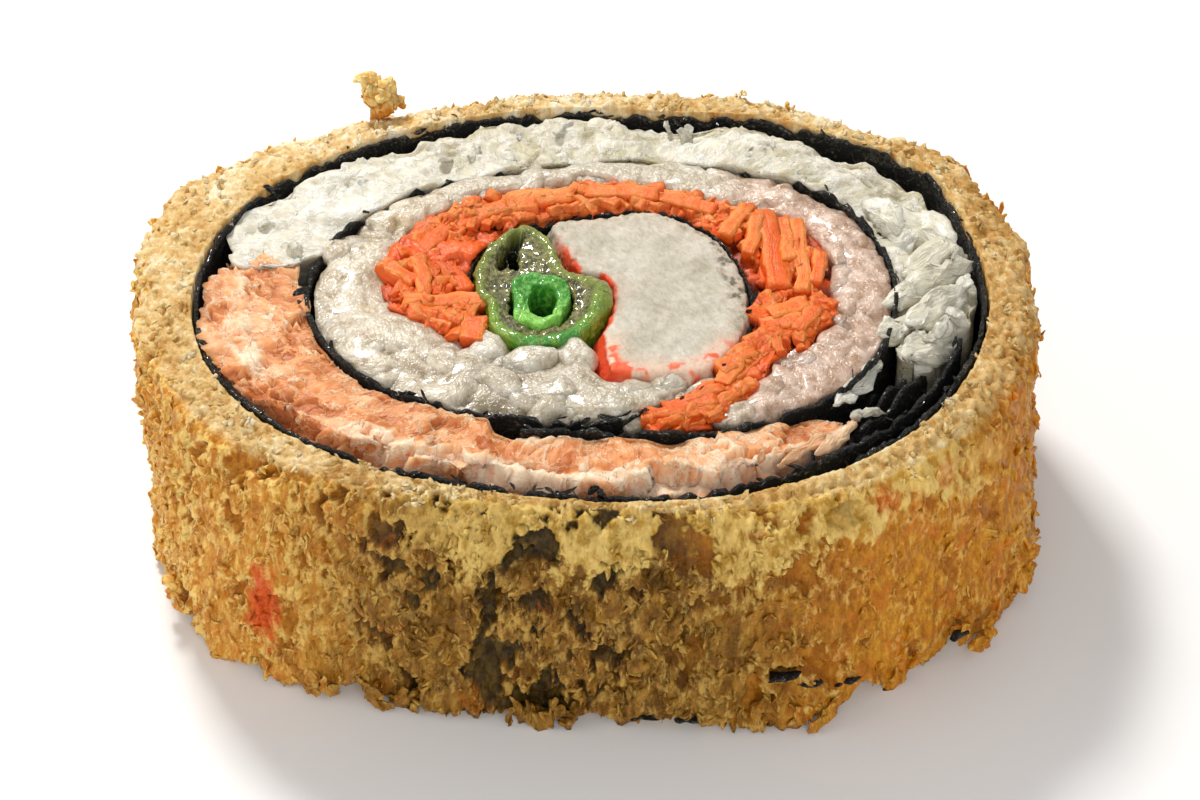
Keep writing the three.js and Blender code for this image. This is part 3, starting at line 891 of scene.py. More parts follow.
def shredded(net, points, size):
    """Square strips with torn sides, each bent and frayed in its own way."""
    bit = net.add("GeometryNodeMeshCube", None, {
        "Size": (1, 1, 1), "Vertices X": 14, "Vertices Y": 4, "Vertices Z": 4})
    shape = bent(net, stood(net, points, bit), size["Bend"], 3.0, size["Fray"], 1.0)
    shape = sliced(net, shape, SLICE - 0.2 + net.noise(net.place(), 2.2, 2) * 0.6, 0.4)
    return net.smoothed(shape)


def carrot_flesh():
    """Bright orange, with painted shade redder in the recesses, pale where a shred is thin."""
    net, feed = finish("carrot_flesh", (0.18, 0.9, 1.0, 0.6, 0.3), Specular_IOR_Level=0.5)
    place = net.place()
    _, y, z = place.parts()
    own = net.attribute("own", True)
    edge = own.stretched(0, 2, 2).length().rise(0.9, 1.3)
    cloudy = net.noise(place, 2.2, 3, 0.6)
    streaks = net.noise(own.stretched(1.5, 9, 9).moved(place.scaled(0.2)), 1.0, 3, 0.6)
    grain = net.noise(place, 0.45, 3, 0.65)
    # This height term is painted shade: the carrot gets darker and redder further below the cut
    # faces.
    high = nearer_face(z).rise(SLICE - 2.4, SLICE + 0.3) ** 1.6
    shade = (high * 0.66 + cloudy * 0.35 + net.attribute("tone") * 0.2 + (streaks - 0.5) * 0.35
             + (grain - 0.5) * 0.3 + edge * 0.2 - 0.04)
    tone = net.ramp(shade * 0.86 + 0.06, (0.26, 146, 52, 10), (0.46, 206, 78, 14),
                    (0.66, 236, 90, 14), (0.86, 245, 106, 20), (1.0, 251, 140, 56))
    pale = y.rise(6.0, 13.0) * cloudy.rise(0.3, 0.6) * 0.4
    return feed(Base_Color=net.mix(pale, tone, (250, 158, 84)), Roughness=0.2 + grain * 0.4,
                Normal=net.bump(grain * 0.7 + streaks * 0.5, 0.25))


orange = carrot_flesh()
sculpt(carrot_bed, orange, lumpy_bed, Depth=0.8)
loose_carrot = sculpt(carrot_shreds(620), orange, shredded, Bend=0.9, Fray=0.8)
settle(carrot_bed, "carrot")
settle(loose_carrot, "carrot")

# The rice: cooked short grains that the rolling pressed to a sticky, half-clear paste on the
# left, and that are still whole in front of the leaves and on the right.
rice_band = Band("rice", 237, 596, 12.0)
STAINED = ((-18.0, -1.5), (-16.0, 10.0))  # two yellow patches
# Grains that are still whole: middle, length, width and turn in degrees.
WHOLE_GRAINS = (
    (-8.3, -6.4, 4.0, 3.4, 80), (-4.7, -7.9, 5.0, 3.4, 10), (-0.9, -7.2, 4.2, 3.6, 100),
    (3.4, -11.9, 4.6, 3.0, 60), (6.3, -12.0, 5.4, 2.6, -12), (9.6, -11.0, 4.4, 2.2, 15),
    (-7.2, -10.6, 5.6, 3.2, -35), (-2.6, -11.6, 5.6, 3.4, -10), (1.8, -13.6, 5.4, 3.0, 5),
    (-11.2, -8.4, 5.2, 3.4, -50), (17.3, -8.4, 4.0, 3.0, 20), (18.9, -9.9, 4.6, 2.6, 50),
    (14.8, -11.6, 4.4, 3.0, 40), (11.9, -14.4, 3.8, 2.8, 30), (16.4, -12.2, 4.4, 2.8, 40),
    (20.3, -5.6, 4.4, 2.8, 80), (21.2, -1.6, 4.6, 2.8, 95), (21.4, 2.6, 4.4, 2.8, 85),
    (20.7, 8.3, 10.4, 2.7, 99), (22.2, 8.2, 4.4, 2.4, 120), (18.4, 12.6, 4.6, 2.6, 150))


def rice_top(lengths, share):
    """Domed between its two sheets, with slow waves."""
    dome = 0.7 * (1 - (2 * share - 1) ** 2)
    return SLICE - 0.75 + dome + 0.4 * rough(lengths + 3 * share, 3.4, 21)


def rice_lips(sweeps):
    """At the back, and less so on the right, the rice spreads over the seaweed."""
    back = slope(sweeps, 380, 390) * slope(sweeps, 508, 498)
    right = slope(sweeps, 506, 514) * slope(sweeps, 575, 565)
    return 0.25, 0.1 + 0.45 * back + 0.3 * right


def rice_grains(count):
    """Grains in the top of the layer: strewn ones, pressed deep, and then the whole ones."""
    spots, _ = scattered(rice_band, count, 1, (0.1, 0.9), (1.3, 1.9))
    turns = drawn(count, (-0.2, 0.2), (-0.2, 0.2), (0, 2 * math.pi))
    sizes = drawn(count, (3.6, 5.4), (2.2, 3.2), (2.0, 2.8))
    x, y, long, wide, turned = np.array(WHOLE_GRAINS).T
    height, roll, pitch = drawn(
        len(x), (SLICE - 1.4, SLICE - 0.9), (-0.2, 0.2), (-0.2, 0.2)).T
    return strewn("rice_grains", (spots, turns, sizes),
                  placed(x, y, height, roll, pitch, turned, long, wide, wide * 0.8))


def rice_cut(net):
    """The height at which the knife went through the rice, a little uneven."""
    return SLICE - 0.4 + net.noise(net.place(), 3.4, 2) * 0.5


def pressed(net, shape, size):
    """Grains pressed to a smooth paste, with thin creases between some and small bubbles."""
    place = net.place()
    shaken = place.moved(net.wobble(place, 2.0, 2).scaled(2.2))
    crease = net.cells(shaken, 3.6, feature="DISTANCE_TO_EDGE").rise(0.14, 0.0)
    kept = net.noise(place, 4.0, 2).rise(0.45, 0.65)
    swell = net.noise(place, 2.4, 2) - 0.5
    pits = net.noise(place, 0.7, 3, 0.65) - 0.5
    height = swell * 0.7 + pits * 0.2 - crease * kept * 0.6
    amount = (net.attribute("face") + 0.1).least(1.0) * size["Depth"]
    return sliced(net, net.pushed(shape, net.outward(height * amount)), rice_cut(net), 0.35)


def ball(net, segments, rings):
    """A ball 1 across, for bits that are rounded."""
    return net.add("GeometryNodeMeshUVSphere", None, {
        "Segments": segments, "Rings": rings, "Radius": 0.5})


def grains(net, points, size):
    """Swollen grains, each a little different."""
    shape = bent(net, stood(net, points, ball(net, 20, 14)), 1.6, 2.6, size["Roughness"], 0.9)
    return net.smoothed(sliced(net, shape, rice_cut(net) + 0.25, 0.35))


def cooked_rice():
    """Wet, half-clear rice, pinkish on the right.

    Painted shade greys it where it is deep, and a painted highlight whitens its grains' edges.
    """
    net, feed = finish("cooked_rice", (0.45, 1.6, 1.0, 1.0, 0.95), Coat_Roughness=0.08,
                       Specular_IOR_Level=0.6)
    place = net.place()
    x, y, z = place.parts()
    cloudy = net.noise(place, 1.6, 3, 0.62)
    bubbles = net.noise(place, 0.35, 3, 0.7)
    own = net.attribute("own", True)
    edge = own.stretched(2, 2, 2).length()
    streaks = net.noise(own.stretched(2, 7, 7).moved(place.scaled(0.3)), 1.0, 2, 0.6)
    # The edge term is a painted highlight on the grains' edges, and the height term is painted
    # shade that greys the rice below the cut face.
    shade = (cloudy * 0.8 + (bubbles - 0.5) * 0.2 + streaks * 0.2 + edge * 0.04
             + nearer_face(z).rise(SLICE - 1.6, SLICE) * 0.2 - y.rise(-7.0, -10.0) * 0.06 - 0.18)
    tone = net.ramp(shade, (0.25, 150, 136, 110), (0.42, 186, 173, 150), (0.58, 208, 198, 178),
                    (0.72, 242, 235, 220))
    creamy = net.mix(cloudy.rise(0.35, 0.6), (186, 164, 134), (236, 222, 200))
    left = (0 - x + (cloudy - 0.5) * 6).rise(8.0, 14.0)
    pinkish = net.mix(cloudy.rise(0.35, 0.65), (180, 138, 112), (228, 194, 174))
    right = (x + (cloudy - 0.5) * 6).rise(9.0, 16.0)
    first, second = (place.away((*spot, SLICE)) for spot in STAINED)
    stained = (first.least(second) + bubbles * 3 + cloudy * 2).rise(4.0, 2.4)
    stained = stained * bubbles.rise(0.4, 0.6)
    flecks = net.noise(place, 0.5, 2).rise(0.72, 0.78)
    tone = net.painted(tone, (left * 0.5, creamy), (right * 0.75, pinkish),
                       (stained * 0.7, (240, 212, 128)), (flecks * 0.5, (130, 108, 76)))
    glint = net.noise(place, 0.6, 2, 0.6)
    return feed(Base_Color=tone, Roughness=0.1 + bubbles * 0.3,
                Coat_Weight=cloudy.rise(0.35, 0.6) * 0.9,
                Normal=net.bump(glint + bubbles * 0.3, 0.3))


rice_bed = slab("rice_bed", rice_band, rice_top, rice_lips)
white = cooked_rice()
sculpt(rice_bed, white, pressed, Depth=0.9)
whole_rice = sculpt(rice_grains(40), white, grains, Roughness=0.35)
settle(rice_bed, "rice")
settle(whole_rice, "rice")

# The salmon: a cooked strip along the front of the roll. It tore into steps under the knife, so
# its inner side stands high and a lower ledge runs along the seaweed.
salmon_band = Band("salmon", 218, 366.5, 22.0, after=5.0)


def salmon_top(lengths, share):
    """High on its inner side, then a ragged step down to the ledge, which ends at the right."""
    edge = 0.66 + 0.2 * rough(lengths, 7.0, 31) + 0.07 * rough(lengths, 1.1, 32)
    edge = edge + 0.5 * slope(lengths - salmon_band.lengths[-1], -20, -14)
    step = slope(share - edge, 0, 0.05) * (1.9 + 0.5 * rough(lengths, 4.0, 34))
    return SLICE - 0.4 + 0.35 * rough(lengths + 4 * share, 3.0, 33) - step


def salmon_lips(sweeps):
    """It spreads over the seaweed on both sides near its right end."""
    return 0.25 + 0.7 * bell(sweeps, 362, 16), 0.1 + 0.3 * bell(sweeps, 358, 14)


def flaked(net, shape, size):
    """Torn flakes: flat steps with ragged edges that run along the strip, and fine fibres."""
    lay = net.attribute("lay", True)
    wobble = net.wobble(lay, 1.5, 3, 0.6)
    ragged = lay.moved(wobble.scaled(1.6))
    drawn_out = net.add("ShaderNodeCombineXYZ", None, {0: size["Stretch"], 1: 1.0, 2: 0.6})
    plates = net.cells(ragged.vector("MULTIPLY", drawn_out), 2.6, "Color").parts()[0]
    chips = net.cells(ragged.stretched(0.7, 1, 0.6), 1.1, "Color").parts()[1]
    fibres = net.noise(lay.stretched(0.8, 0.5, 1), 0.6, 3, 0.65) - 0.5
    swell = (net.noise(lay, 4.5, 1) - 0.5) * 0.7
    torn = 1 - net.attribute("share").rise(0.62, 0.42) * size["Plateau"]
    height = ((plates - 0.55) * size["Plates"] + (chips - 0.5) * size["Chips"] * torn
              + fibres * size["Fibres"] * torn + swell)
    amount = (net.attribute("face") + 0.12).least(1.0)
    sway = wobble.scaled(amount * 0.6 * MM)
    return net.pushed(net.stored(shape, "crag", height), net.outward(height * amount).moved(sway))


def cooked_fish(name, stops, brown, browned_and_shaded, pocket_shade, lips, paler):
    """Cooked fish: a ramp from its recesses to its torn edges, partly painted shade, browner
    towards the outside, and browner still on its lower sides with painted shade.

    browned_and_shaded is how much of both, and pocket_shade how much painted shade darkens its
    recesses in patches. lips is how much paler it is along the middle of the strip, where it
    tore, and paler how much at its right end.
    """
    net, feed = finish(name, (0.45, 1.4, 1.0, 0.75, 0.55), Specular_IOR_Level=0.45)
    lay = net.attribute("lay", True)
    place = net.place()
    x, _, z = place.parts()
    torn = lay.moved(net.wobble(lay, 1.2, 4, 0.65).scaled(2.4)).stretched(0.6, 1, 0.6)
    steps = net.cells(torn, 1.5, "Color").parts()[0]
    borders = net.cells(torn, 1.5, feature="DISTANCE_TO_EDGE").rise(0.09, 0.0)
    crag = net.attribute("crag")
    cloudy = net.noise(lay.stretched(0.6, 1, 1), 2.6, 3, 0.6)
    fine = net.noise(lay.stretched(1, 0.4, 1), 0.45, 3, 0.65)
    share = net.attribute("share")
    lip = share.rise(0.48, 0.62) * share.rise(0.86, 0.72)
    fading = lips * (1 - (0 - x).rise(14, 24) * 0.7)
    # The crag term is painted shade: lower, recessed places are darker.
    shade = (crag.rise(-0.9, 0.9) * 0.4 + (cloudy - 0.5) * 0.6 + (fine - 0.5) * 0.5
             + (steps - 0.5) * 0.3 + borders * 0.35 + (lip - 0.4) * fading + 0.2
             + (x.rise(-24, -6) - 0.5) * paler)
    # The low mask is painted shade that browns the strip's sides below the cut face; the outer
    # mask is its real browning along the outside.
    low = nearer_face(z).rise(SLICE - 1.6, SLICE - 3.4)
    outer = share.rise(0.78, 1.0) * cloudy.rise(0.35, 0.6)
    # These patches are painted shade in the recesses.
    shaded_pockets = net.noise(place, 3.2, 3, 0.6).rise(0.5, 0.72) * crag.rise(0.4, -0.4)
    specks = net.noise(place, 0.42, 2).rise(0.7, 0.76)
    tone = net.painted(
        net.ramp(shade, *stops), ((outer * 0.6 + low * 0.5).least(1.0) * browned_and_shaded, brown),
        (shaded_pockets * pocket_shade, brown), (specks * 0.7, (96, 60, 34)))
    return feed(Base_Color=tone, Roughness=0.3 + fine * 0.35,
                Normal=net.bump(fine * 0.7 + steps * 0.8 + borders * 0.3, 0.25))


salmon_strip = slab("salmon_strip", salmon_band, salmon_top, salmon_lips, 0.28, 30, taper=1.2)
pink = cooked_fish(
    "salmon_flesh", ((0.05, 190, 102, 42), (0.28, 230, 152, 92), (0.5, 242, 182, 132),
                     (0.72, 255, 220, 188)),
    brown=(158, 88, 38), browned_and_shaded=0.8, pocket_shade=0.35, lips=0.4, paler=0.2)
sculpt(salmon_strip, pink, flaked, Plates=0.8, Chips=0.75, Fibres=1.1, Stretch=0.35, Plateau=0.6)
settle(salmon_strip, "salmon")

# The white fish: a creamy, fibrous strip along the back, fuzzy where the knife dragged, that
# gets lower at its right end, where it fell apart.
fish_band = Band("white_fish", 10.2, 197, 24.5, before=3.0)


def fish_top(lengths, share):
    """Slow waves, a millimetre lower where the thick flakes lie on it."""
    flaky = slope(lengths - fish_band.lengths[-1], -27, -23)
    return SLICE - 0.35 + 0.4 * rough(lengths + 4 * share, 3.4, 41) - 1.0 * flaky


def fish_lips(sweeps):
    """The strip spreads over the seaweed inside it, and leaves black gaps along the outside."""
    back = slope(sweeps, 24, 32) * slope(sweeps, 195, 187)
    uneven = rough(sweeps, 7.0, 43) + 0.6 * rough(sweeps, 2.5, 44)
    gaps = 1.8 * bell(sweeps, 143, 15) + 0.5 * bell(sweeps, 40, 12) - 0.8 * bell(sweeps, 69, 4)
    gaps = gaps - 1.3 * bell(sweeps, 14, 13)
    inner = 0.15 + 0.5 * back + 1.1 * bell(sweeps, 14, 12)
    return inner, np.clip(0.55 * uneven - 0.2 * back - gaps, -2.2, 1.2)


white_fish = slab("white_fish_strip", fish_band, fish_top, fish_lips, 0.3, 28, taper=1.0)
cream = cooked_fish(
    "white_fish_flesh", ((0.1, 188, 180, 148), (0.35, 216, 209, 190), (0.6, 233, 228, 214),
                         (0.85, 249, 246, 237)),
    brown=(156, 138, 88), browned_and_shaded=0.6, pocket_shade=0.4, lips=0.0, paler=-0.2)
sculpt(white_fish, cream, flaked, Plates=0.4, Chips=0.3, Fibres=0.7, Stretch=0.6, Plateau=0.0)
settle(white_fish, "white_fish")

# The loose flakes: thick wet ones, in which the white fish fell apart at its right end, the thin
# torn tips of the salmon, and small ones that stick to both strips.

# Each has its middle, depth under the cut face, length, width, thickness and turn in degrees.
THICK_FLAKES = (
    (28.4, 8.4, 0.7, 7.0, 4.2, 1.7, -34), (25.4, 10.8, 0.7, 5.4, 3.0, 1.5, -50),
    (28.9, 4.8, 0.5, 7.8, 2.9, 1.5, 40), (29.1, 2.2, 0.6, 7.8, 2.6, 1.4, 43),
    (29.0, -1.3, 0.6, 7.8, 3.0, 1.5, 38), (26.4, 0.2, 0.8, 5.6, 2.2, 1.3, 32),
    (25.5, -4.0, 0.6, 5.2, 2.2, 1.1, 43), (28.0, -6.4, 0.9, 6.6, 2.6, 1.3, 37),
    (29.4, -4.0, 0.9, 5.0, 1.8, 1.1, 44), (21.6, -11.2, 0.7, 7.0, 1.7, 0.6, 51),
    (22.2, -10.0, 0.9, 4.8, 1.6, 0.5, 56), (22.4, -14.1, 0.6, 3.4, 0.9, 0.5, 30))
SALMON_TIPS = (
    (19.8, -17.4, 0.4, 5.8, 1.0, 0.6, 33), (17.4, -18.8, 0.5, 5.6, 0.9, 0.6, 26),
    (20.6, -16.2, 0.6, 4.0, 0.9, 0.5, 44), (-14.0, -15.6, 0.3, 3.2, 0.9, 0.5, -60))


def leaning(sweeps, roll, pitch, yaw):
    """Turns of bits that lie along their layer, with a spread in radians each way."""
    count = len(sweeps)
    return np.column_stack([rng.normal(0, roll, count), rng.normal(0, pitch, count),
                            np.radians(90 - sweeps) + rng.normal(0, yaw, count)])


def fish_pieces(name, band, count, small, listed):
    """Small torn flakes, up to a size, strewn over a strip, and then the listed ones."""
    spots, sweeps = scattered(band, count, 3, (0.08, 0.92), (0.0, 0.7))
    turns = leaning(sweeps, 0.5, 0.5, 0.8)
    sizes = rng.uniform(small * 0.5, small, (count, 3)) * (1.5, 1.0, 0.4)
    x, y, depth, long, wide, thick, turned = np.array(listed).T
    roll, pitch = rng.uniform(0.2, 0.8, len(x)), rng.normal(0, 0.12, len(x))
    turned = turned + rng.normal(0, 7, len(x))
    return strewn(name, (spots, turns, sizes),
                  placed(x, y, SLICE - depth, roll, pitch, turned, long, wide, thick))


def fish_flakes(net, points, size):
    """Lens-shaped flakes with ragged borders."""
    bit = ball(net, size["Segments"], size["Rings"])
    return net.smoothed(bent(net, stood(net, points, bit), 1.8, 2.6, size["Fray"], 0.7))


def flake_flesh(name, *stops):
    """Fish that shows its fibres, which run along each flake."""
    net, feed = finish(name, (0.2, 0.8, 1.0, 0.8, 0.6), Coat_Weight=0.2, Coat_Roughness=0.2)
    place = net.place()
    own = net.attribute("own", True)
    fibres = net.noise(own.stretched(1.5, 16, 6).moved(place.scaled(0.3)), 1.0, 3, 0.65)
    cloudy = net.noise(place, 2.2, 3, 0.6)
    shade = cloudy * 0.5 + fibres * 0.6 + net.attribute("tone") * 0.2 - 0.1
    return feed(Base_Color=net.ramp(shade, *stops), Roughness=0.2 + fibres * 0.4,
                Normal=net.bump(fibres, 0.25))


white_flakes = fish_pieces("white_fish_flakes", fish_band, 30, 1.6, THICK_FLAKES)
white_flake = flake_flesh("white_flake", (0.2, 160, 150, 116), (0.45, 218, 211, 188),
                          (0.75, 250, 247, 236))
sculpt(white_flakes, white_flake, fish_flakes, Fray=1.1, Segments=28, Rings=14)
settle(white_flakes, "white_fish")
salmon_flakes = fish_pieces("salmon_flakes", salmon_band, 10, 0.9, SALMON_TIPS)
salmon_flake = flake_flesh("salmon_flake", (0.2, 236, 142, 84), (0.5, 252, 190, 138),
                           (0.8, 255, 224, 188))
sculpt(salmon_flakes, salmon_flake, fish_flakes, Fray=0.9, Segments=24, Rings=12)
settle(salmon_flakes, "salmon")

# The outer seaweed: a whole sheet round the roll, lapped over its own start at the front left.
# At the right it is folded loosely three times, and slivers are torn off both sheets' edges.
FOLD_STEPS = 60  # sections along a fold
# Each fold has its sweeps, how far out its two ends are, and its depth under the cut face.
FOLDS = (
    ((197, 219), (26.6, 25.2), 1.6), ((195, 222), (28.2, 26.2), 0.9),
    ((199, 216), (25.2, 24.4), 2.6))
# Slivers that show at the foot of the coat: middle, height, length and turn in degrees.
PEEKS = (
    (15.8, -27.9, 5.8, 3.0, 12), (21.1, -26.5, 3.6, 2.4, 25), (17.8, -27.6, 4.8, 2.4, 15),
    (30.6, -21.1, 3.2, 1.8, 40), (8.6, -28.4, 1.4, 3.4, 0), (4.8, -28.5, 1.1, 2.6, 0))
outer_band = Band("outer_nori", 191, 584, 30.0)
outer_nori = sheet("outer_sheet", outer_band, 5,
                   lambda sweeps: np.full(len(sweeps), SLICE - 0.25),
                   lambda sweeps: np.full(len(sweeps), 0.5))
sculpt(outer_nori, nori, crumpled, Creases=0.35)
settle(outer_nori, "outer_nori")


def fold(name, sweeps, reach, drop):
    """A strip of seaweed folded loosely between two sweeps, under the cut face."""
    sections = []
    for step, sweep in enumerate(np.linspace(*sweeps, FOLD_STEPS)):
        share = step / (FOLD_STEPS - 1)
        centre = reach[0] + (reach[1] - reach[0]) * share
        swing = 0.35 * math.sin(share * 9)
        top = SLICE - drop - 0.5 * math.sin(share * 14) - 1.2 * abs(2 * share - 1) ** 3
        corners = ((centre - 0.2 + swing, 1.0), (centre - 0.2 + swing, top / 2 + 3),
                   (centre - 0.15, top), (centre + 0.2, top - 0.1),
                   (centre + 0.25 + swing, top / 2 + 3), (centre + 0.25 + swing, 1.0))
        sections.append([(*around(sweep, radius), height) for radius, height in corners])
    return lofted(name, np.array(sections))


def scraps(count):
    """Torn slivers of seaweed that stand on the cut edges of both sheets."""
    spots, turns = [], []
    for band in (outer_band, inner_band):
        sweeps = rng.uniform(band.sweeps[0], band.sweeps[-1], count)
        if band is inner_band:
            sweeps = sweeps[(sweeps >= 170) & ((sweeps <= 388) | (sweeps >= 500))]
        level = band.at(sweeps, 0.5) + rng.normal(0, 0.25, (len(sweeps), 2))
        spots.append(np.column_stack([level, SLICE + rng.uniform(-0.5, 0.15, len(sweeps))]))
        turns.append(leaning(sweeps, 0.8, 0.25, 0.6))
    spots, turns = np.concatenate(spots), np.concatenate(turns)
    sizes = rng.uniform(0.4, 1.0, (len(spots), 3)) * (1.5, 0.5, 0.12)
    x, y, z, long, turned = np.array(PEEKS).T
    return strewn("seaweed_scraps", (spots, turns, sizes),
                  placed(x, y, z, 0 * x + 1.4, 0 * x, turned, long, long * 0.2, long * 0.4))


for number, loose in enumerate(FOLDS, 1):
    folded = fold(f"seaweed_fold_{number}", *loose)
    sculpt(folded, nori, crumpled, Creases=0.45)
    settle(folded, "outer_nori")
torn = sculpt(scraps(90), nori, fish_flakes, Fray=0.5, Segments=10, Rings=6)
settle(torn, "outer_nori")

# The crumb coat: coarse white breadcrumbs pressed on the roll and fried. The crumbs swell and
# fuse to a golden, spongy crust of ragged plates with hollows between them, and where the knife
# went through it the crust shows its pale, dry inside.
AROUND = 880  # profiles round the coat
WALL_ROWS, RIM_ROWS, INNER_ROWS, FOOT_ROWS = 80, 19, 5, 8  # points in each stretch of a profile
LEVELS = (3.5, 6, 8.5, 11, 13.5, 16, 18.5, 20.5)  # heights at which its solid's wall is read
OILY, DARKEST = (-3.0, -30.0, 9.0), (-2.0, -30.0, 15.0)  # middles of two patches at the front
TOASTED = ((23.6, -23.4, 20.6), (28.9, -19.6, 20.0))  # two brown spots under the rim
STAIN = (-26.3, -22.6, 8.4)  # the middle of a red stain at the left
# Where crumbs broke off its foot: sweep, height and width in degrees.
NOTCHES = (
    (229, 2.6, 4), (258, 1.9, 7), (308, 1.8, 4), (322, 1.5, 3), (214, 1.4, 3), (15, 1.4, 6),
    (48, 1.5, 5), (80, 1.2, 6), (112, 1.6, 5), (150, 1.3, 6), (184, 1.0, 4))
# Single marks on the front wall, pressed in and darkened with painted shade: where, how wide
# and how high they are, and how deep.
PITS = (
    ((-7.3, -27.5, 13.2), 0.6, 0.6, 1.6), ((-4.1, -27.9, 14.4), 0.5, 0.5, 1.5),
    ((1.6, -28.9, 8.2), 1.6, 1.0, 2.2), ((15.9, -28.3, 6.4), 1.7, 0.6, 1.8),
    ((20.4, -25.4, 20.6), 1.9, 0.9, 0.9), ((-11.5, -27.3, 12.0), 1.1, 1.4, 1.0),
    ((5.5, -28.6, 17.0), 1.3, 1.7, 0.9), ((-4.9, -27.9, 17.6), 1.4, 1.4, 0.8),
    ((-0.6, -28.6, 13.4), 1.4, 2.0, 0.8), ((-12.2, -26.8, 17.0), 0.8, 1.4, 0.8))


def softened(values, width):
    """A row of values round the roll, each averaged with its neighbours."""
    share = np.hanning(2 * width + 3)[1:-1]
    turned = np.concatenate([values[-width:], values, values[:width]])
    return np.convolve(turned, share / share.sum(), "valid")


def crumb_crust():
    """The coat, as profiles that go up its wall, in over the rim, down inside and out below.

    Its points hold how far the knife laid its inside bare, as "cut", and 1 where it is as
    craggy as can be, as "craggy".
    """
    sweeps = np.arange(AROUND) * 360 / AROUND
    inner_wall = softened([crossings("crumb_coat", s, MIDWAY)[0] for s in sweeps], 6) - 0.2
    outer_wall = np.array([
        softened([crossings("crumb_coat", s, z)[-1] for s in sweeps], 14) for z in LEVELS])
    ragged, worn = (np.array([noise.noise((math.cos(t) * size, math.sin(t) * size, 3))
                              for t in np.radians(sweeps)]) for size in (9, 5))
    feet = np.clip(0.5 + 0.5 * ragged, 0.3, None)
    for middle, lift, width in NOTCHES:
        feet = np.maximum(feet, lift * bell(sweeps, middle, width))
    rise = np.linspace(0, 1, WALL_ROWS)
    across = np.linspace(1, 0, RIM_ROWS + 2)[1:-1]
    out = np.linspace(0, 1, FOOT_ROWS + 2)[1:-1]
    profiles, cuts = [], []
    for sweep, inner, outer, foot, wear in zip(sweeps, inner_wall, outer_wall.T, feet, worn):
        front, back = bell(sweep, 270, 70), bell(sweep, 90, 60)
        top = SLICE - 0.2 + 0.5 * back
        drop = 1.3 + 1.5 * front + 1.1 * wear
        heights = foot + rise * (top - drop - foot)
        wall = np.interp(heights, LEVELS, outer) - 0.7 + 0.5 * back
        radii = np.concatenate([wall, inner + across * (wall[-1] - inner),
                                np.full(INNER_ROWS, inner), inner + out * (wall[0] - inner)])
        tops = np.concatenate([heights, top - drop * across ** 2.4,
                               np.linspace(top, 0.2, INNER_ROWS), 0.3 + (foot - 0.3) * out ** 2])
        profiles.append(np.column_stack([around(sweep, radii), tops]))
        bare = np.clip((1.3 - 0.93 * front - across) / 0.3, 0, 1)
        cuts.append(np.concatenate([rise ** 24 * 0.6 * (1 - front), bare,
                                    np.full(INNER_ROWS, 0.6), np.full(FOOT_ROWS, 0.8)]))
    made = lofted("crumb_crust", np.array(profiles), ring=True)
    craggy = np.concatenate([np.ones(WALL_ROWS), np.ones(RIM_ROWS - 1), [0.7],
                             np.full(INNER_ROWS, 0.3), np.linspace(0.3, 0.8, FOOT_ROWS)])
    note(made, "cut", np.concatenate(cuts))
    note(made, "craggy", np.tile(craggy, AROUND))
    return made


def rightward(x, y):
    """How far to the right on the coat a place is, where the crust gets smoother."""
    return x - abs(y) * 0.4


def pitted(net, place):
    """How deep the wall is pressed in at its pits, in millimetres."""
    shaken = place.moved(net.wobble(place, 1.1, 2).scaled(1.1))
    total = None
    for where, wide, high, deep in PITS:
        away = shaken.moved([-c for c in where]).stretched(1 / wide, 0.3, 1 / high)
        dent = away.length().rise(1.15, 0.7) * deep
        total = total.most(dent) if total else dent
    return total


def crags(net, shape, size):
    """Ragged tufts with smooth hollows between them, and a cut face like coarse sugar.

    On the left the fat ran down it in upright frills, and on the right it is nearly smooth.
    """
    place = net.place()
    x, y, _ = place.parts()
    wobble = net.wobble(place, 1.5, 3, 0.6)
    torn = place.moved(wobble.scaled(size["Raggedness"]))
    smooth = rightward(x, y).rise(4.0, 18.0)
    dark = place.away(DARKEST).rise(22, 10)
    lump = net.noise(torn.stretched(1, 1, 0.6), 3.6, 5, 0.66) - dark * 0.045 + 0.01
    tufts = lump.rise(0.41, 0.46)
    cells = net.cells(torn.stretched(1, 1, 0.5), 1.1).rise(0.1, 0.6)
    frills = net.noise(torn.stretched(1, 1, 0.22), 0.8, 3, 0.65) - 0.5
    spongy = net.noise(place, 0.65, 3, 0.65) - 0.5
    broad = net.noise(place, 7.0, 2) - 0.5
    side = ((tufts * (0.6 + cells * 0.4) + frills * (0.7 + tufts * 0.8)) * (1 - smooth * 0.5)
            + spongy * 1.1 * (1 - smooth * 0.4) + broad * 1.2 - 0.6 + smooth * 0.3)
    grain = net.cells(torn, 0.9).rise(0.6, 0.1)
    soft = net.noise(place, 2.6, 2) - 0.5
    face = spongy * 1.1 + soft * 0.9 + (grain - 0.5) * 0.25
    cut = net.attribute("cut")
    total = side * (1 - cut) + face * cut - pitted(net, place)
    keep = net.attribute("craggy")
    push = net.outward(total * keep * size["Depth"]).moved(wobble.scaled(keep * 0.8 * MM))
    shape = net.stored(net.stored(shape, "crag", total), "tuft", lump.most(cut))
    return net.pushed(shape, push)


def painted_hollow_shade(net, x, patches, mottle, oily):
    """Painted shade in the crust's hollows, darkest in the oily middle of the front."""
    sides = (abs(x + 6) + (patches - 0.5) * 10).rise(8, 20) * 0.8
    low = net.mix(sides, net.mix(oily, (140, 80, 12), (48, 34, 8)), (176, 106, 18))
    high = net.mix(sides, net.mix(oily, (178, 112, 24), (100, 76, 26)), (214, 148, 48))
    return net.mix(mottle.rise(0.4, 0.7), low, high)


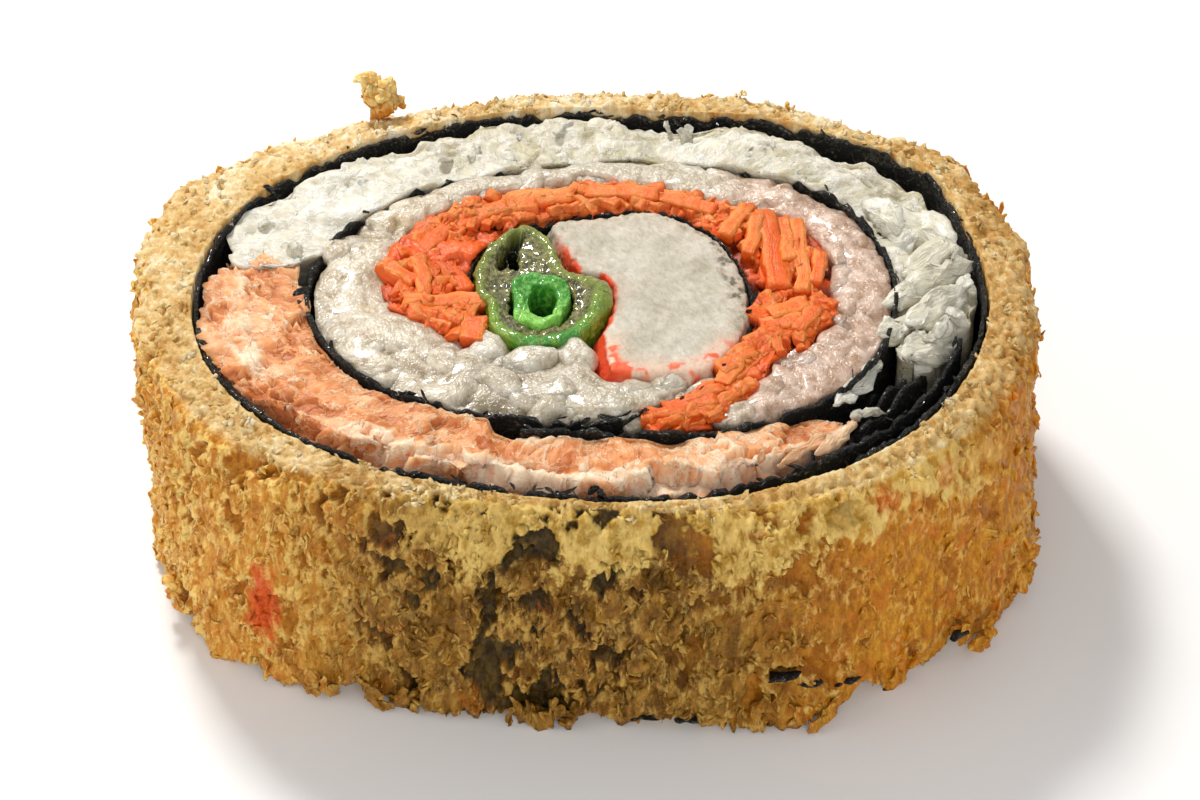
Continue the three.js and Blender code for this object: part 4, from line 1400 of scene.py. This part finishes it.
def dry_tone(net, x, y, crag, patches, mottle, fine):
    """The dry inside of the crust, palest at the sides and the back and darkest at the front."""
    # The crag term is painted shade: lower places on the cut are darker.
    shade = (crag.rise(-0.7, 0.6) * 0.3 + (fine - 0.5) * 0.7 + (mottle - 0.5) * 0.7
             + (patches - 0.5) * 0.9 + 0.26 + (0 - x).rise(10, 34) * 0.1
             + abs(y).rise(14, 22) * 0.18 - y.rise(-17, -25) * 0.2)
    return net.ramp(shade, (0.1, 150, 102, 36), (0.35, 196, 150, 80), (0.6, 226, 196, 136),
                    (0.85, 251, 240, 210))


def fried_crumb(name, loose=0.0, dried=0.0):
    """Golden fried breadcrumb, darker with painted shade in its hollows, pale where it is cut.

    Its tips are pale partly from its own frills and partly from painted highlights. loose is 0
    for the crust itself, and for single crumbs how pale their borders are, which is a painted
    highlight too. dried is how far single crumbs look like the dry inside of the crust.
    """
    net, feed = finish(name, (0.28 - loose * 0.1, 0.8, 1.0, 0.55, 0.2), Specular_IOR_Level=0.22)
    place = net.place()
    x, y, z = place.parts()
    patches = net.noise(place, 5.5, 3, 0.55)
    mottle = net.noise(place.stretched(1, 1, 0.45), 1.1, 3, 0.65)
    frills = net.noise(place.stretched(1, 1, 0.3), 0.5, 4, 0.7)
    fine = net.noise(place, 0.45, 3, 0.65)
    left = (0 - x + (patches - 0.5) * 10).rise(10.0, 34.0)
    right = rightward(x, y).rise(4.0, 18.0)
    oily = place.away(OILY).rise(30, 13) * (patches * 0.6 + mottle * 0.4).rise(0.28, 0.44)
    if loose:
        # A loose crumb's pale border is a painted highlight.
        tip = net.attribute("tip")
        crag, lip = tip * 0.8 - 0.3, tip.rise(0.5, 1.0) * loose
        dry = z.rise(SLICE - 1.3, SLICE - 0.4) * dried
        hollows = ()
    else:
        crag, lump = net.attribute("crag"), net.attribute("tuft")
        # This lip is a painted highlight along the edges of the tufts.
        lip = lump.rise(0.43, 0.45) * lump.rise(0.53, 0.465)
        dry = (net.attribute("cut") * (mottle + patches - 0.1)).rise(0.15, 0.6)
        # In the hollows between the tufts the colour is painted shade.
        hollows = ((1 - lump.rise(0.41, 0.455), painted_hollow_shade(net, x, patches, mottle, oily)),)
    # crag adds a little painted shade: low places darker, high ones paler.
    shade = crag * 0.12 + mottle * 0.45 + frills * 0.75 + (patches - 0.5) * 0.6 - 0.12
    golden = net.ramp(shade, (0.1, 122, 62, 6), (0.32, 172, 100, 12), (0.52, 204, 132, 24),
                      (0.72, 228, 164, 48), (0.92, 246, 200, 92))
    toasted = net.noise(place.moved((40.0, 0.0, 0.0)), 3.0, 3).rise(0.52, 0.66) * (1 - oily)
    under_rim = (z + (patches - 0.5) * 18 + (mottle - 0.5) * 8).rise(17.0, 19.0)
    under_rim = under_rim * (0 - y).rise(12, 20) * (x + 12).rise(-6, 4)
    first, second = (place.away(spot) for spot in TOASTED)
    # This pale coat is partly the crumb's own pale frills and partly painted highlights on its
    # tips and edges.
    pale = lip * 0.5 + crag * 0.2 + (frills - 0.5) * 2.4 + (mottle - 0.5) * 0.8 + left * 0.15
    pale = pale.rise(0.25, 0.85) * (0.8 - oily * 0.25) * (1 - right * 0.5)
    stain = place.moved([-c for c in STAIN]).stretched(0.7, 0.3, 0.2).length()
    stain = (stain + (mottle - 0.5) * 1.8).rise(1.15, 0.5)
    tone = net.painted(
        golden,
        (oily * 0.8, net.mix(mottle.rise(0.4, 0.62), (78, 56, 14), (152, 112, 42))),
        (right * 0.5, net.mix(frills.rise(0.4, 0.6), (168, 100, 10), (214, 152, 36))),
        (toasted * 0.6, (208, 114, 24)),
        (left * 0.5, net.mix(frills.rise(0.38, 0.62), (206, 132, 32), (250, 206, 112))),
        (z.rise(SLICE + 0.4, SLICE + 1.6) * 0.9,
         net.mix(frills.rise(0.35, 0.6), (240, 178, 78), (255, 230, 160))),
        (under_rim * 0.8, net.mix(mottle.rise(0.35, 0.6), (190, 146, 50), (242, 210, 124))),
        *hollows,
        ((first.least(second) + mottle * 2).rise(2.8, 1.6) * 0.6, (214, 100, 26)),
        (pale, net.mix(oily, (252, 218, 130), (222, 186, 100))),
        (stain * 0.85, (214, 72, 18)),
        (dry * 0.9, dry_tone(net, x, y, crag, patches, mottle, fine)),
        # The pits are darkened with painted shade, more where they are deeper.
        (pitted(net, place).rise(0.3, 1.5) * 0.7, (64, 48, 16)))
    return feed(Base_Color=tone, Roughness=0.15 + mottle * 0.35,
                Normal=net.bump(fine * 0.4 + frills * 0.7, 0.3))


crumb_coat = crumb_crust()
sculpt(crumb_coat, fried_crumb("fried_crumb"), crags, Depth=1.0, Raggedness=1.6)
settle(crumb_coat, "crumb_coat")

# The single crumbs: shards of breadcrumb that stuck to the tufts of the crust and to its cut rim,
# teeth of them along its foot, and one tuft that stands on the rim at the back left.
SHARDS = 9  # in each tooth
SHARES = (0.75, 0.6, 0.5, 0.45, 0.4, 0.4)  # sizes of the shards in a lump of the tuft
# Each tooth has its middle, height, breadth and lean along the wall in degrees.
TEETH = (
    (19.4, -28.6, 1.3, 3.6, 1.5, 35), (17.2, -28.8, 1.8, 4.0, 2.2, 10),
    (14.8, -28.9, 2.4, 3.6, 2.4, 0), (-2.6, -28.4, 1.1, 3.0, 3.6, 0),
    (-4.6, -28.2, 1.5, 3.0, 2.6, 20), (7.4, -28.8, 2.6, 3.0, 2.0, -10),
    (26.0, -23.8, 1.5, 3.6, 1.8, 20), (33.3, -19.6, 1.8, 3.6, 1.6, 30),
    (31.2, -20.8, 2.6, 3.4, 1.8, 10), (37.6, -12.6, 3.0, 3.8, 1.4, 45),
    (-30.9, -20.3, 1.3, 3.6, 1.8, 0), (-22.6, -25.0, 1.2, 3.4, 2.4, 0),
    (-14.5, -26.6, 1.1, 3.0, 2.4, 10), (-17.4, -26.4, 1.5, 3.0, 1.8, -20),
    (-34.8, -15.6, 2.6, 3.6, 1.6, 0))
# The tuft's lumps: middle, breadth and height.
TUFT = (
    (-18.5, 25.4, 22.6, 2.6, 3.4), (-18.9, 25.6, 23.6, 2.4, 2.6), (-18.0, 25.5, 23.7, 2.2, 2.4),
    (-19.1, 25.7, 24.7, 2.2, 1.8), (-17.6, 25.6, 24.6, 1.8, 1.6), (-19.3, 25.8, 25.4, 1.5, 1.3),
    (-18.6, 25.2, 24.3, 1.9, 1.8), (-17.2, 25.3, 23.6, 1.4, 1.4), (-19.9, 25.6, 24.0, 1.4, 1.3))


def loose_crumbs(count, rows, long, wide, thick, sunk, lean, right=1.0):
    """Spots, turns and sizes of crumbs on the tufts in some rows of the crust, mostly upright.

    long, wide, thick and sunk are ranges in millimetres. right is their share on the right,
    where the crust is smoother.
    """
    spots = read(crumb_coat.data.vertices, "co", 3) / MM
    facing = read(crumb_coat.data.vertices, "normal", 3)
    tufts = read(crumb_coat.data.attributes["tuft"].data, "value", 1)[:, 0]
    row = np.arange(len(spots)) % (len(spots) // AROUND)
    allowed = (row >= rows[0]) & (row < rows[1]) & (spots[:, 2] > 0.8) & (tufts > 0.46)
    allowed &= (rightward(*spots[:, :2].T) < 8.0) | (rng.random(len(spots)) < right)
    chosen = rng.choice(np.flatnonzero(allowed), count)
    turns = []
    for out in facing[chosen]:
        out = Vector(out + rng.normal(0, lean, 3)).normalized()
        up = Vector(rng.normal(0, 0.35, 3)) + Vector((0, 0.02, 1))
        side = up.cross(out).normalized()
        turns.append(Matrix((out.cross(side), side, out)).transposed().to_euler()[:])
    sizes = drawn(count, long, wide, thick)
    return spots[chosen] - facing[chosen] * drawn(count, sunk), turns, sizes


def placed_crumbs():
    """Spots, turns and sizes of the shards in the teeth, and then of those in the tuft."""
    shards = []
    for x, y, z, tall, broad, lean in TEETH:
        out = Vector((x, y * 1.6, 0)).normalized()
        side = Vector((0, 0, 1)).cross(out)
        along = (Vector((0, 0, 1)) + side * math.tan(math.radians(lean))).normalized()
        for _ in range(SHARDS):
            turned = Matrix.Rotation(rng.normal(0, 0.35), 3, out) @ along
            turn = Matrix((turned, out.cross(turned), out)).transposed().to_euler()
            spot = (Vector((x, y, z)) + along * rng.uniform(-0.3, 0.35) * tall
                    - out * rng.uniform(0.2, 0.9) + side * rng.normal(0, 0.28) * broad)
            shards.append((*spot, *turn, rng.uniform(1.0, 2.2), rng.uniform(0.5, 1.0),
                           rng.uniform(0.5, 0.9)))
    for x, y, z, broad, tall in TUFT:
        for share in SHARES:
            spot = np.array((x, y, z)) + rng.normal(0, 0.6, 3) * (1.1 - share)
            shards.append((*spot, *rng.normal(0, 0.8, 3), broad * share, broad * share * 0.8,
                           tall * share))
    return np.split(np.array(shards), 3, axis=1)


def torn_crumbs(net, points, size):
    """Ragged shards, palest at their borders, where painted highlights lighten them."""
    bit = ball(net, size["Segments"], size["Rings"])
    rim = net.add("GeometryNodeInputPosition").stretched(2, 2, 0).length()
    bit = stood(net, points, net.stored(bit, "tip", rim))
    return net.smoothed(bent(net, bit, 1.4, 2.4, size["Fray"], size["Frill"]))


clumps = strewn("crumb_clumps", loose_crumbs(
    260, (0, WALL_ROWS - 8), long=(1.2, 3.2), wide=(0.6, 1.3), thick=(0.4, 0.8),
    sunk=(0.05, 0.35), lean=0.3, right=0.3), placed_crumbs())
sculpt(clumps, fried_crumb("fried_clumps", 0.6), torn_crumbs, Segments=20, Rings=12, Fray=1.6,
       Frill=1.2)
specks = strewn("crumb_specks", loose_crumbs(
    2600, (0, WALL_ROWS), long=(0.5, 1.7), wide=(0.25, 0.6), thick=(0.2, 0.4),
    sunk=(-0.1, 0.25), lean=0.5, right=0.3))
sculpt(specks, fried_crumb("fried_specks", 0.9), torn_crumbs, Segments=10, Rings=7, Fray=0.9,
       Frill=0.8)
dust = strewn("rim_crumbs", loose_crumbs(
    1300, (WALL_ROWS, WALL_ROWS + RIM_ROWS), long=(0.3, 1.0), wide=(0.25, 0.7),
    thick=(0.15, 0.4), sunk=(0.0, 0.2), lean=0.6))
sculpt(dust, fried_crumb("cut_crumbs", 1.0, 1.0), torn_crumbs, Segments=8, Rings=6, Fray=0.8,
       Frill=0.5)
settle(clumps, "crumb_coat")
settle(specks, "crumb_coat")
settle(dust, "crumb_coat")
